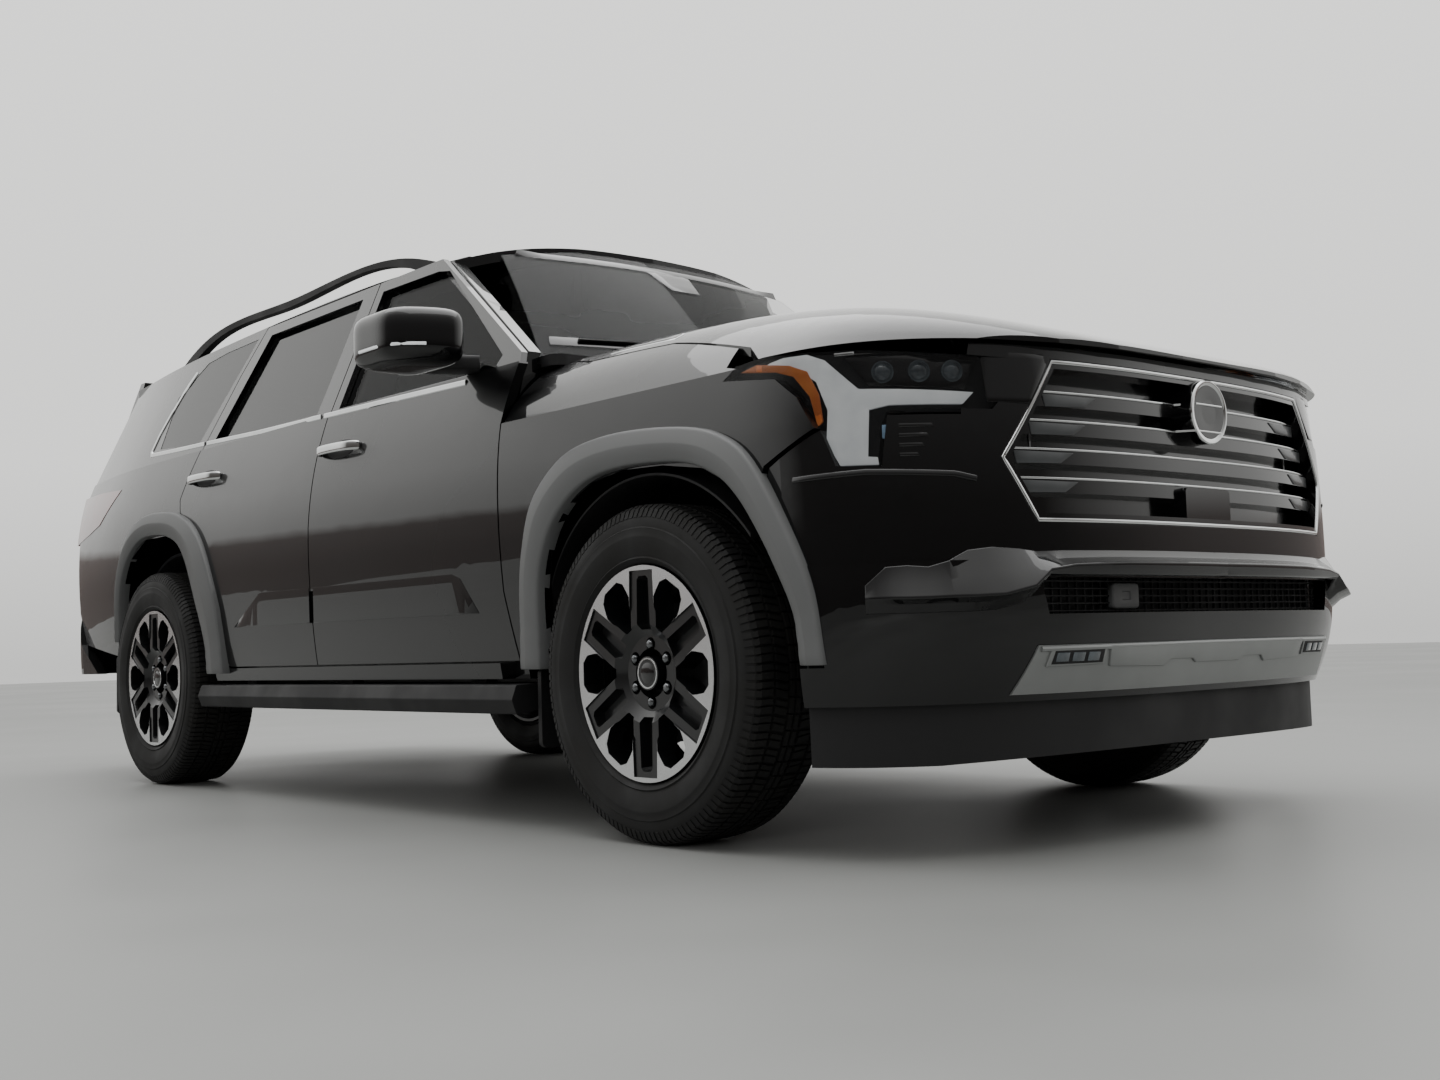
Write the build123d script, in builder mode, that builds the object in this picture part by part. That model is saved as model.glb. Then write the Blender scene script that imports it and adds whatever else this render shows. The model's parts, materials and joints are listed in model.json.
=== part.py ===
"""Full-size SUV, body on frame, in millimetres.

The front faces -Y, the vehicle's left side is +X, +Z is up, and the origin lies on the
ground under the middle of the vehicle. Side outlines are drawn on Plane.YZ as (y, z),
front outlines on Plane.XZ as (x, z).
"""
from build123d import *
from math import cos, pi, sin
import os

os.makedirs("parts", exist_ok=True)

# ---------------------------------------------------------------- driving dimensions
length = 5286.0
height = 1887.0                  # to the tip of the roof aerial
wheelbase = 3099.0
front_overhang = 965.0
track = 1745.0                   # between the wheels' middle planes
half_width = 992.0               # body side at its widest, without the flares
flare_stand_out = 19.0           # flares beyond the body side
tyre_radius = 413.0
tyre_width = 265.0
rim_radius = 262.0               # visible edge of the rim
belt_z = 1275.0                  # bottom edge of the side glass
sill_z = 450.0                   # bottom edge of the doors
aerial_height = 37.0             # aerial above the roof's crown
panel_gap = 6.0                  # shut line between outer panels
seal_gap = 10.0                  # door's inner block to the body's opening
sheet = 22.0                     # outer skin with its inner pressing
door_skin = 30.0                 # outer layer of a door
door_depth = 86.0                # whole thickness of a door at its trim
frame_depth = 20.0               # thickness of a window frame
land = 40.0                      # overlap of a door's edge on its opening
glass = 5.0                      # thickness of the glass
glass_lap = 12.0                 # pane behind the window's edge
cargo_floor_z = 700.0
lining_gap = 8.0                 # pillars' inner layer behind the doors' outer layer
lining_depth = 55.0
cabin_floor_z = 500.0
receiver_out = 64.0             # hitch receiver tube
receiver_in = 51.0
pin_hole = 16.0                  # cross pin of the receiver
seat_gap = 0.3                   # a piece to the seat that carries it
liner_gap = 0.9                  # wheel arch liner to the fender skin
nut_circle = 70.0                # radius of the wheel nuts' circle
spoke_band = 48.0                # half the width of a double spoke
spoke_drop = 5.0                 # painted spokes behind the machined face
liner_clear = 67.0               # wheel arch liner outside the tyre

# ---------------------------------------------------------------- derived stations
front_y = -length / 2
tail_y = length / 2
front_axle_y = front_y + front_overhang
rear_axle_y = front_axle_y + wheelbase
hub_z = tyre_radius
wheel_x = track / 2
roof_z = height - aerial_height
cant_z = roof_z - 105.0          # top edge of the doors
door_y = front_axle_y + 583.0    # front edge of the front door at the sill
pillar_y = (front_axle_y + rear_axle_y) / 2 + 213.0   # shut line between the doors
cowl_y = front_axle_y + 590.0    # rear edge of the hood at the middle
nose_depth = 543.0               # length of the curved nose in plan
nose_y = front_y + nose_depth
nose_power = 2.7                 # superellipse of the nose in plan
fascia_top_z = 1112.0
hood_z = 1320.0                  # hood at its rear edge
shoulder_z = 1100.0              # where fender top and side meet
side_wide_z = 900.0              # height where the body side is widest
glass_slope = 0.432              # lean of the side glass
tail_taper_y = rear_axle_y + 79.0
steer_x = wheel_x - 92.0         # kingpin beside the wheel's middle plane
tailgate_hinge_y = tail_y - 293.0


# ---------------------------------------------------------------- surfaces
def nose_width(y, wide):
    """Half-width in plan: constant, then a superellipse round the nose, slight tail taper."""
    if y < nose_y:
        depth = min((nose_y - y) / nose_depth, 0.9995)
        return wide * (1 - depth ** nose_power) ** (1 / nose_power)
    if y > tail_taper_y:
        return wide - 110.0 * ((y - tail_taper_y) / (tail_y - tail_taper_y)) ** 2
    return wide


def side_x(y, z):
    """Body side below the belt."""
    swell = 0.00042 if z > side_wide_z else 0.00018
    return nose_width(y, half_width) - swell * (z - side_wide_z) ** 2


def upper_x(y, z):
    """Side of the cabin above the belt."""
    return nose_width(y, half_width) - 64.0 - glass_slope * (z - belt_z)


def crown_z(y):
    """Roof on the centre line."""
    rise = 5.1e-5 if y < roof_peak_y else 1.5e-5
    return roof_z - rise * (y - roof_peak_y) ** 2


def ridge_z(y):
    """Hood on the centre line, falling to the nose."""
    run = min(max((cowl_y + 30 - y) / (cowl_y + 30 - front_y), 0.0), 1.0)
    return hood_z - (hood_z - fascia_top_z - 8) * run ** 3.6


def screen_y(x, z):
    """Windscreen, leaning back and bowed across."""
    rise = z - 1270.0
    return cowl_y - 42.0 + rise + 0.00025 * rise ** 2 + 110.0 * (x / 700.0) ** 2


roof_peak_y = front_axle_y + 2028.0
roof_half = 722.0                # roof's curve out to the drip line
roof_edge = 698.0                # edge of the roof panel


def steps(first, last, count):
    """Evenly spaced values, both ends included."""
    return [first + (last - first) * i / (count - 1) for i in range(count)]


def surface(point, us, vs):
    """Smooth face through point(u, v) on a grid."""
    rows = [[Vector(*point(u, v)) for v in vs] for u in us]
    return Face.make_surface_from_array_of_points(rows, tol=0.3, min_deg=3, max_deg=5)


def side_wall(shape, ys, zs, depth, inset=0.0):
    """Wall of the left side: starts `inset` inside the surface, `depth` thick along X."""
    face = surface(lambda y, z: (shape(y, z) - inset, y, z), ys, zs)
    return extrude(face, amount=depth, dir=(-1, 0, 0))


def nose_block(top, bottom, lean, inset, rear_y):
    """Solid block behind the wrapped front surface; lean(z) sets it back with height."""
    wide = half_width - 7.0 - inset
    deep = nose_depth - inset

    def point(turn, z):
        across = abs(cos(turn)) ** (2 / nose_power) * (1 if cos(turn) >= 0 else -1)
        ahead = abs(sin(turn)) ** (2 / nose_power)
        return (wide * across, nose_y + lean(z) - deep * ahead, z)

    face = surface(point, steps(0.09, pi - 0.09, 33), steps(bottom, top, 7))
    return extrude(face, amount=rear_y - nose_y + nose_depth, dir=(0, 1, 0))


def outline(points, plane, amount, both=False, reach=0.0):
    """Prism of a closed outline, drawn on a plane moved by `reach`."""
    with BuildPart() as prism:
        with BuildSketch(plane.offset(reach)):
            with BuildLine():
                Polyline(*points, close=True)
            make_face()
        extrude(amount=amount, both=both)
    return prism.part


def inset_outline(points, distance, plane, amount, reach=0.0, radius=0.0):
    """Prism of a closed outline moved inwards by `distance`, or outwards if negative."""
    with BuildPart() as prism:
        with BuildSketch(plane.offset(reach)) as drawn:
            with BuildLine():
                Polyline(*points, close=True)
            make_face()
            offset(amount=-distance, kind=Kind.INTERSECTION, mode=Mode.REPLACE)
            if radius:
                fillet(drawn.vertices(), radius)
        extrude(amount=amount)
    return prism.part


def save(shape, name):
    """Label a finished piece and write it."""
    shape.label = name
    export_step(shape, f"parts/{name}.step")


def save_pair(shape, name):
    """Write a left piece and its mirror image on the right."""
    save(shape, name + "_left")
    with BuildPart() as right:
        mirror(shape, about=Plane.YZ)
    save(right.part, name + "_right")


def both_sides(shape):
    """A left piece together with its mirror image."""
    with BuildPart() as pair:
        add(shape)
        mirror(shape, about=Plane.YZ)
    return pair.part


def block(x0, x1, y0, y1, z0, z1):
    """Plain box between six coordinates, used to cut and to trim."""
    middle = Pos((x0 + x1) / 2, (y0 + y1) / 2, (z0 + z1) / 2)
    return middle * Box(x1 - x0, y1 - y0, z1 - z0, mode=Mode.PRIVATE)


# ---------------------------------------------------------------- side outlines, (y, z)
b_line = [(pillar_y + 15, sill_z), (pillar_y, 900), (pillar_y - 40, belt_z), (pillar_y - 23, cant_z)]
front_door_line = (
    [(door_y, sill_z), (door_y + 40, 640), (door_y + 45, 1100), (door_y + 8, belt_z - 5)]
    + [(door_y + 22, belt_z + 30), (door_y + 745, cant_z)]
    + [(y - panel_gap, z) for y, z in reversed(b_line)]
)
arch = [(-620, 420), (-601, 650), (-549, 787), (-479, 902), (-387, 983), (-244, 1029), (7, 1046),
        (166, 1018), (276, 953), (344, 855), (390, 700), (410, 420)]      # rear flare, outside
rear_arch_line = [(rear_axle_y + dy, z) for dy, z in arch]
rear_door_line = (
    list(b_line)
    + [(rear_axle_y - 486, cant_z), (rear_axle_y - 411, 1560), (rear_axle_y - 336, belt_z)]
    + [(rear_axle_y - 240, 1091), (rear_axle_y - 258, 1040)]
    + [(rear_axle_y + dy - panel_gap - 4, z + 6) for dy, z in reversed(arch[1:5])]
    + [(rear_axle_y - 616, sill_z + 20), (rear_axle_y - 640, sill_z)]
)
front_glass_line = [(door_y + 122, belt_z + 38), (door_y + 660, 1685), (door_y + 740, cant_z - 45),
                    (pillar_y - 75, cant_z - 40), (pillar_y - 95, belt_z + 12),
                    (door_y + 140, belt_z + 2)]
rear_glass_line = [(pillar_y + 62, belt_z + 14), (pillar_y + 66, cant_z - 40),
                   (rear_axle_y - 550, cant_z - 42), (rear_axle_y - 420, belt_z + 24)]
quarter_line = [(rear_axle_y - 270, belt_z + 32), (rear_axle_y - 432, cant_z - 38),
                (rear_axle_y - 155, cant_z - 45), (rear_axle_y + 15, cant_z - 62),
                (rear_axle_y + 205, 1560), (rear_axle_y + 150, belt_z + 60)]
front_arch = [(-592, 420), (-570, 599), (-498, 744), (-407, 891), (-324, 941), (-218, 965),
              (-31, 991), (131, 995), (261, 972), (361, 918), (433, 859), (474, 769),
              (511, 665), (535, 420)]
front_arch_line = [(front_axle_y + dy, z) for dy, z in front_arch]
front_opening = [(-536, 200), (-530, 521), (-487, 614), (-442, 694), (-396, 775), (-348, 836),
                 (-245, 886), (-98, 908), (59, 913), (184, 895), (295, 847), (372, 775),
                 (421, 659), (441, 503), (446, 200)]
front_opening_line = [(front_axle_y + dy, z) for dy, z in front_opening]
rear_opening = [(-505, 200), (-497, 551), (-436, 700), (-373, 834), (-298, 914), (-132, 961),
                (74, 960), (236, 890), (330, 775), (385, 640), (420, 500), (428, 200)]
rear_opening_line = [(rear_axle_y + dy, z) for dy, z in rear_opening]
wide = 1400.0                    # long enough to pass through one side


# ---------------------------------------------------------------- doors
recess_line = [(door_y + 189, 596), (rear_axle_y - 756, 596), (rear_axle_y - 976, 692), (door_y + 277, 692)]
recess_depth = 7.0
recess = (side_wall(side_x, steps(door_y, rear_axle_y, 5), steps(570, 720, 4), recess_depth + 1, -1.0)
          & outline(recess_line, Plane.YZ, wide))


def door(line, window, name):
    """Outer skin with its window frame, and the inner block inside the opening."""
    ys = steps(line[0][0] - 80, rear_axle_y + 60, 9)
    skin = side_wall(side_x, ys, steps(sill_z - 30, belt_z + 2, 8), door_skin)
    frame = side_wall(upper_x, ys, steps(belt_z - 40, cant_z + 20, 5), frame_depth)
    core = side_wall(side_x, ys, steps(sill_z - 30, belt_z - 12, 8), door_depth - door_skin, door_skin)
    with BuildPart() as made:
        add(skin & outline([(-3000, 300), (3000, 300), (3000, belt_z), (-3000, belt_z)], Plane.YZ, wide))
        add(frame & outline([(-3000, belt_z - 20), (3000, belt_z - 20), (3000, 1900), (-3000, 1900)],
                            Plane.YZ, wide))
        add(recess, mode=Mode.SUBTRACT)
        add(outline(line, Plane.YZ, wide), mode=Mode.INTERSECT)
        add(outline(window, Plane.YZ, wide), mode=Mode.SUBTRACT)
        add(core & inset_outline(line, land + seal_gap, Plane.YZ, wide)
            & outline([(-3000, 300), (3000, 300), (3000, belt_z - 14), (-3000, belt_z - 14)],
                      Plane.YZ, wide))
    save_pair(made.part, name)
    return made.part


def door_glass(window, name, leaf):
    """Pane in the door's window, lapped behind the frame and let into the door below."""
    ys = steps(window[0][0] - 300, window[0][0] + 1300, 7)
    pane = side_wall(upper_x, ys, steps(belt_z - 30, cant_z + 20, 5), glass, frame_depth + 0.3)
    save_pair((pane & inset_outline(window, -glass_lap, Plane.YZ, wide)) - leaf, name)


front_leaf = door(front_door_line, front_glass_line, "front_door")
rear_leaf = door(rear_door_line, rear_glass_line, "rear_door")
door_glass(front_glass_line, "front_door_glass", front_leaf)
door_glass(rear_glass_line, "rear_door_glass", rear_leaf)

# ---------------------------------------------------------------- roof and tail surfaces
screen_top_z = roof_z - 50.0
header_y = screen_y(0, screen_top_z)


def roof_point(x, y):
    """Roof panel, crowned across."""
    return (x, y, crown_z(y) - 95.0 * abs(x / roof_half) ** 3)


roof_skin = surface(roof_point, steps(-roof_half - 25, roof_half + 25, 13),
                    steps(header_y - 60, tail_y - 150, 13))
roof_sheet = 34.0
roof_wall = extrude(roof_skin, amount=roof_sheet, dir=(0, 0, -1))
roof_line = [(-roof_edge, header_y + 150), (-600, header_y + 74), (-300, header_y + 18), (0, header_y),
             (300, header_y + 18), (600, header_y + 74), (roof_edge, header_y + 150),
             (roof_edge, tailgate_hinge_y - panel_gap), (-roof_edge, tailgate_hinge_y - panel_gap)]
roof_space = (extrude(roof_skin, amount=roof_sheet + 0.3, dir=(0, 0, -1))
              & inset_outline(roof_line, -0.5, Plane.XY, 2000))
above_roof = extrude(roof_skin, amount=200.0, dir=(0, 0, 1))
under_roof = extrude(roof_skin, amount=200.0, dir=(0, 0, -1))

gate_lean = 0.30


def gate_y(x, z):
    """Tailgate's outer face: upright below the glass, leaning forward above, bowed across."""
    lean = gate_lean * max(0.0, z - belt_z + 60) + 0.06 * max(0.0, belt_z - 60 - z)
    return tail_y - 64.0 - lean - 60.0 * (x / 850.0) ** 4


gate_low_z = 720.0
gate_skin = surface(lambda x, z: (x, gate_y(x, z), z), steps(-940, 940, 13), steps(650, 1830, 19))
gate_line = [(-800, gate_low_z), (800, gate_low_z), (808, belt_z - 110), (796, belt_z), (668, roof_z - 104),
             (-668, roof_z - 104), (-796, belt_z), (-808, belt_z - 110)]
gate_space = (inset_outline(gate_line, -panel_gap, Plane.XZ, 3000, reach=-3000)
              & block(-1000, 1000, tail_y - 420, tail_y + 50, 600, 1900))

# ---------------------------------------------------------------- side structure
all_ys = steps(door_y - 40, tail_y - 60, 15)
quarter_skin = side_wall(side_x, all_ys, steps(sill_z - 60, belt_z + 2, 8), door_skin + lining_gap + 1)
cant_skin = side_wall(upper_x, all_ys, steps(belt_z - 40, cant_z + 45, 6), frame_depth + lining_gap + 1)
lining = side_wall(side_x, all_ys, steps(sill_z - 60, belt_z + 2, 8), lining_depth,
                   door_skin + lining_gap)
cant_lining = side_wall(upper_x, all_ys, steps(belt_z - 40, cant_z + 45, 6), 40.0,
                        frame_depth + lining_gap)
side_edge = [(door_y + 20, 400), (rear_axle_y - 480, 400), (tail_y - 215, 560), (tail_y - 120, 700),
             (tail_y - 120, 1180), (tail_y - 190, belt_z), (tail_y - 310, cant_z + 40),
             (door_y + 800, cant_z + 40), (door_y + 30, belt_z + 36)]
lamp_line = [(tail_y - 753, 1199), (tail_y - 422, 1216), (tail_y - 60, 1225), (tail_y - 60, 1010),
             (tail_y - 330, 1040), (tail_y - 500, 1068)]


def hinge_leaf(line, z):
    """Hinge leaf on the opening's front edge, up to the door's inner block."""
    leaf = (inset_outline(line, land - 2, Plane.YZ, wide)
            - inset_outline(line, land + seal_gap - seat_gap, Plane.YZ, wide))
    front = min(y for y, height_z in line if height_z < belt_z - 100)
    return lining & leaf & block(0, wide, front - 50, front + 110, z - 40, z + 40)


with BuildPart() as body_side:
    add(quarter_skin & block(0, wide, door_y + 100, 3000, 300, belt_z))
    add(cant_skin & outline([(-3000, belt_z - 20), (3000, belt_z - 20), (3000, 1900), (-3000, 1900)],
                            Plane.YZ, wide))
    for door_line in (front_door_line, rear_door_line):
        add(inset_outline(door_line, -panel_gap, Plane.YZ, wide), mode=Mode.SUBTRACT)
    add(outline(lamp_line, Plane.YZ, wide), mode=Mode.SUBTRACT)
    add(lining)
    add(cant_lining & block(0, wide, -3000, 3000, belt_z - 14, 1900))
    add(outline(side_edge, Plane.YZ, wide), mode=Mode.INTERSECT)
    for door_line in (front_door_line, rear_door_line):
        add(inset_outline(door_line, land, Plane.YZ, wide), mode=Mode.SUBTRACT)
        for hinge_z in (640, 1040):
            add(hinge_leaf(door_line, hinge_z))
    add(outline(quarter_line, Plane.YZ, wide), mode=Mode.SUBTRACT)
    add(outline(rear_opening_line, Plane.YZ, wide), mode=Mode.SUBTRACT)
    with BuildSketch(Plane.YZ.offset(560)):
        with Locations((rear_axle_y, hub_z)):
            Circle(tyre_radius + 72)
    extrude(amount=wide, mode=Mode.SUBTRACT)
body_left = body_side.part - roof_space - above_roof - gate_space
save(both_sides(body_left), "body_sides")

pane = side_wall(upper_x, all_ys, steps(belt_z - 30, cant_z + 12, 6), glass, 1.5)
save(both_sides(pane & inset_outline(quarter_line, 0.4, Plane.YZ, wide)), "quarter_windows")

# ---------------------------------------------------------------- hood and front fenders
def hood_point(share, y):
    """Hood and fender top: `share` of the half-width, rounded down to the shoulder."""
    drop = max(ridge_z(y) - shoulder_z, 4.0)
    return (share * nose_width(y, side_x(nose_y, shoulder_z)), y,
            ridge_z(y) - drop * abs(share) ** 8)


hood_rear_y = cowl_y - 60.0
hood_edge_x = 846.0
hood_line = [(0, front_y + 8), (-340, front_y + 22), (-520, front_y + 52), (-640, front_y + 92),
             (-900, front_y + 180), (-1000, front_y + 480), (-930, front_y + 610),
             (-hood_edge_x - 14, front_axle_y), (-hood_edge_x, hood_rear_y - 150),
             (-hood_edge_x + 46, hood_rear_y), (-300, hood_rear_y + 6)]
hood_line += [(-x, y) for x, y in reversed(hood_line[1:])]
top_skin = surface(hood_point, steps(-1, 1, 15), steps(front_y + 12, cowl_y + 20, 13))
top_sheet = extrude(top_skin, amount=sheet, dir=(0, 0, -1))
lamp_gap = 0.8
front_lamp_line = [(nose_y + 110, 1080), (nose_y + 65, 1108), (nose_y - 18, 1113), (nose_y - 263, 1100),
                   (nose_y - 377, 1087), (nose_y - 461, 1078), (nose_y - 430, 967), (nose_y - 305, 967),
                   (nose_y - 296, 845), (nose_y - 212, 852), (nose_y - 185, 921),
                   (nose_y - 129, 1010), (nose_y - 62, 1060)]
with BuildPart() as hood:
    add(top_sheet & outline(hood_line, Plane.XY, 1500))
    add(outline([(nose_y - 700, 900), (nose_y - 700, 1118), (nose_y - 10, 1118), (nose_y + 120, 1112),
                 (nose_y + 120, 900)], Plane.YZ, 2 * wide, reach=-wide), mode=Mode.SUBTRACT)
save(hood.part, "hood")

hood_hole = [(x * 1.0 + (panel_gap if x > 0 else -panel_gap if x < 0 else 0), y) for x, y in hood_line]
fender_ys = steps(nose_y - 300, door_y + 60, 11)
fender_side = side_wall(side_x, fender_ys, steps(360, shoulder_z + 2, 8), sheet)
fender_flange = side_wall(side_x, fender_ys, steps(360, shoulder_z + 2, 8),
                          door_skin + lining_gap - seat_gap - sheet + 1, sheet - 1)
bumper_line = [(nose_y + 36, 300), (nose_y + 36, 700), (nose_y - 30, 868), (nose_y - 160, 930),
               (nose_y - 230, 960), (nose_y - 400, 960), (nose_y - 400, 300)]
fender_edge = [(nose_y - 250, 430), (nose_y - 250, 960), (nose_y - 60, 1075), (nose_y + 112, 1112),
               (nose_y + 112, 1400),
               (door_y - 4, 1400), (door_y - 4, belt_z + 30), (door_y + 2, belt_z - 5),
               (door_y + 39, 1100), (door_y + 34, 640), (door_y - panel_gap, sill_z),
               (door_y - panel_gap, 430)]
hood_space = outline([(-1.0 * x, y) for x, y in hood_hole if x <= 0]
                     + [(0, hood_rear_y + panel_gap)], Plane.XY, 700, reach=1112)
with BuildPart() as fender:
    add(top_sheet & block(780, 1000, -3000, 3000, 700, 1500))
    add(hood_space, mode=Mode.SUBTRACT)
    add(fender_side)
    add(fender_flange & block(0, wide, door_y + 22, door_y + 33, 660, 1080))
    add(outline(fender_edge, Plane.YZ, wide), mode=Mode.INTERSECT)
    add(outline(bumper_line, Plane.YZ, wide), mode=Mode.SUBTRACT)
    add(inset_outline(front_lamp_line, -lamp_gap, Plane.YZ, wide), mode=Mode.SUBTRACT)
    add(outline(front_opening_line, Plane.YZ, wide), mode=Mode.SUBTRACT)
save(both_sides(fender.part), "front_fenders")

# ---------------------------------------------------------------- front bumper, grille and lamps
def lower_lean(z):
    """Lower bumper, rolling under towards the ground."""
    return 0.0012 * max(0.0, 560.0 - z) ** 2


def upper_lean(z):
    """Front above the bumper's shelf, leaning back towards the hood."""
    return 14.0 + 0.00016 * max(0.0, z - 700.0) ** 2


shelf_z = 640.0
bumper_wall = 32.0
bumper_bottom_z = 335.0
lower_nose = (nose_block(shelf_z, bumper_bottom_z, lower_lean, 0.0, nose_y + 120)
              - nose_block(shelf_z, bumper_bottom_z, lower_lean, bumper_wall, nose_y + 900))
upper_nose = (nose_block(fascia_top_z, shelf_z - 40, upper_lean, 0.0, nose_y + 120)
              - nose_block(fascia_top_z, shelf_z - 40, upper_lean, bumper_wall + 40, nose_y + 900))
grille_top_z, grille_mid_z, grille_low_z = 1085.0, 862.0, 720.0
grille_line = [(-525, grille_top_z), (525, grille_top_z), (680, grille_mid_z), (600, grille_low_z),
               (-600, grille_low_z), (-680, grille_mid_z)]
skid_line = [(-612, 455), (612, 455), (650, 350), (-650, 350)]
intake_line = [(-610, 600), (610, 600), (590, 522), (-590, 522)]
bumper_rear = [(nose_y - 700, 300), (nose_y - 700, fascia_top_z), (nose_y - 400, fascia_top_z),
               (nose_y - 400, 960 - panel_gap), (nose_y - 230, 960 - panel_gap),
               (nose_y - 160, 930 - panel_gap), (nose_y - 30 - panel_gap, 868 - panel_gap),
               (nose_y + 36 - panel_gap, 700), (nose_y + 36 - panel_gap, 300)]
ahead = 700.0


def front_prism(points, plane_y, gap=0.0):
    """Prism of a front outline from plane_y forwards, widened by `gap`."""
    return inset_outline(points, -gap, Plane.XZ, ahead, reach=-plane_y)


with BuildPart() as front_bumper:
    add(lower_nose)
    add(upper_nose)
    add(outline(bumper_rear, Plane.YZ, 2 * wide, reach=-wide), mode=Mode.INTERSECT)
    add(front_prism(grille_line, nose_y - 200, seat_gap), mode=Mode.SUBTRACT)
    add(front_prism(skid_line, nose_y - 200, seat_gap), mode=Mode.SUBTRACT)
    add(front_prism(intake_line, nose_y - 200), mode=Mode.SUBTRACT)
    for side in (0, -wide):
        add(inset_outline(front_lamp_line, -lamp_gap, Plane.YZ, wide, reach=side), mode=Mode.SUBTRACT)
        add(outline(front_opening_line, Plane.YZ, wide, reach=side), mode=Mode.SUBTRACT)
        add(inset_outline(front_arch_line, -0.5, Plane.YZ, wide, reach=side), mode=Mode.SUBTRACT)
save(front_bumper.part, "front_bumper")

lamp_shell = (nose_block(fascia_top_z + 10, 800, upper_lean, 4.0, nose_y + 200)
              - nose_block(fascia_top_z + 10, 800, upper_lean, 110.0, nose_y + 900))
headlamp = lamp_shell & outline(front_lamp_line, Plane.YZ, wide) & block(655, 1100, -3000, 0, 700, 1300)
save(both_sides(headlamp), "headlamps")

ring_width = 42.0
grille_depth = 60.0
grille_shell = (nose_block(grille_top_z + 20, grille_low_z - 20, upper_lean, 2.0, nose_y + 120)
                - nose_block(grille_top_z + 20, grille_low_z - 20, upper_lean, 2.0 + grille_depth,
                             nose_y + 900))
blade_shell = (nose_block(grille_top_z + 20, grille_low_z - 20, upper_lean, 24.0, nose_y + 120)
               - nose_block(grille_top_z + 20, grille_low_z - 20, upper_lean, 66.0, nose_y + 900))
back_shell = (nose_block(grille_top_z + 20, grille_low_z - 20, upper_lean, 60.0, nose_y + 120)
              - nose_block(grille_top_z + 20, grille_low_z - 20, upper_lean, 72.0, nose_y + 900))
blade_pitch = (grille_top_z - grille_low_z - ring_width) / 5
blade_height = 36.0
emblem_z = 998.0
with BuildPart() as front_grille:
    add(grille_shell & front_prism(grille_line, nose_y - 200))
    add(front_prism(grille_line, nose_y - 200, -ring_width / 2), mode=Mode.SUBTRACT)
    blades = front_prism(grille_line, nose_y - 200, -ring_width / 2 + 1)
    for row in range(1, 5):
        bar_z = grille_low_z + ring_width / 2 + row * blade_pitch
        add(blade_shell & blades
            & block(-750, 750, nose_y - 750, nose_y, bar_z - blade_height / 2, bar_z + blade_height / 2))
    add(back_shell & blades)
    with BuildSketch(Plane.XZ.offset(-front_y - 75)):
        with Locations((0, emblem_z)):
            Circle(76)
    extrude(amount=65)
    with BuildSketch(Plane.XZ.offset(-front_y - 75)):
        with Locations((0, grille_low_z + 55)):
            RectangleRounded(190, 80, 12)
    extrude(amount=52)
save(front_grille.part, "front_grille")

skid_shell = (nose_block(470, 340, lower_lean, -4.0, nose_y + 120)
              - nose_block(470, 340, lower_lean, 40.0, nose_y + 900))
save(skid_shell & front_prism(skid_line, nose_y - 200), "skid_plate")

dam_low_z = 205.0
dam_lean = lower_lean(bumper_bottom_z) + 4.0
dam_shell = (nose_block(bumper_bottom_z - seat_gap, dam_low_z, lambda z: dam_lean, 12.0, nose_y + 120)
             - nose_block(bumper_bottom_z, dam_low_z - 1, lambda z: dam_lean, 26.0, nose_y + 900))
dam_side_line = [(front_y - 50, 400), (front_y - 50, dam_low_z + 22), (nose_y - 330, dam_low_z),
                 (nose_y - 60, dam_low_z), (nose_y + 20, 262), (nose_y + 34, 400)]
dam = dam_shell & outline(dam_side_line, Plane.YZ, 2 * wide, reach=-wide)
save(dam - both_sides(outline(front_opening_line, Plane.YZ, wide)), "air_dam")

liner_radius = tyre_radius + liner_clear
liner_inner_x = 512.0
with BuildPart() as liner_ring:
    with BuildSketch(Plane.YZ.offset(liner_inner_x)):
        with Locations((front_axle_y, hub_z)):
            Circle(liner_radius + 6)
            Circle(liner_radius, mode=Mode.SUBTRACT)
    extrude(amount=500)
liner = liner_ring.part & side_wall(side_x, steps(front_axle_y - 560, front_axle_y + 560, 9),
                                    steps(280, 960, 7), 560, sheet + liner_gap)
liner = liner - block(905, 1100, -3000, nose_y + 50, 0, 2000) - block(0, 1100, -3000, 0, -100, 330)
save(both_sides(liner), "wheel_liners")

# ---------------------------------------------------------------- flares
def flare_x(y, z):
    """Outer face of a flare."""
    return side_x(y, z) + flare_stand_out + 0.00003 * (z - side_wide_z) ** 2


def flare(outer, inner, ys):
    """Band between two arches, hugging the body side."""
    band = side_wall(flare_x, ys, steps(410, 1060, 9), flare_stand_out + 0.5)
    return band & outline(outer, Plane.YZ, wide) - outline(inner, Plane.YZ, wide)


front_band = flare(front_arch_line, front_opening_line,
                   steps(front_axle_y - 640, front_axle_y + 560, 11))
rear_band = flare(rear_arch_line, rear_opening_line, steps(rear_axle_y - 640, rear_axle_y + 440, 9))
skin_block = side_wall(side_x, steps(front_axle_y - 660, rear_axle_y + 460, 25), steps(400, 1070, 9),
                       60.0, -0.5)
with BuildPart() as flares:
    add(front_band)
    add(rear_band)
    add(skin_block, mode=Mode.SUBTRACT)
save(both_sides(flares.part), "wheel_arch_flares")

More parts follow.
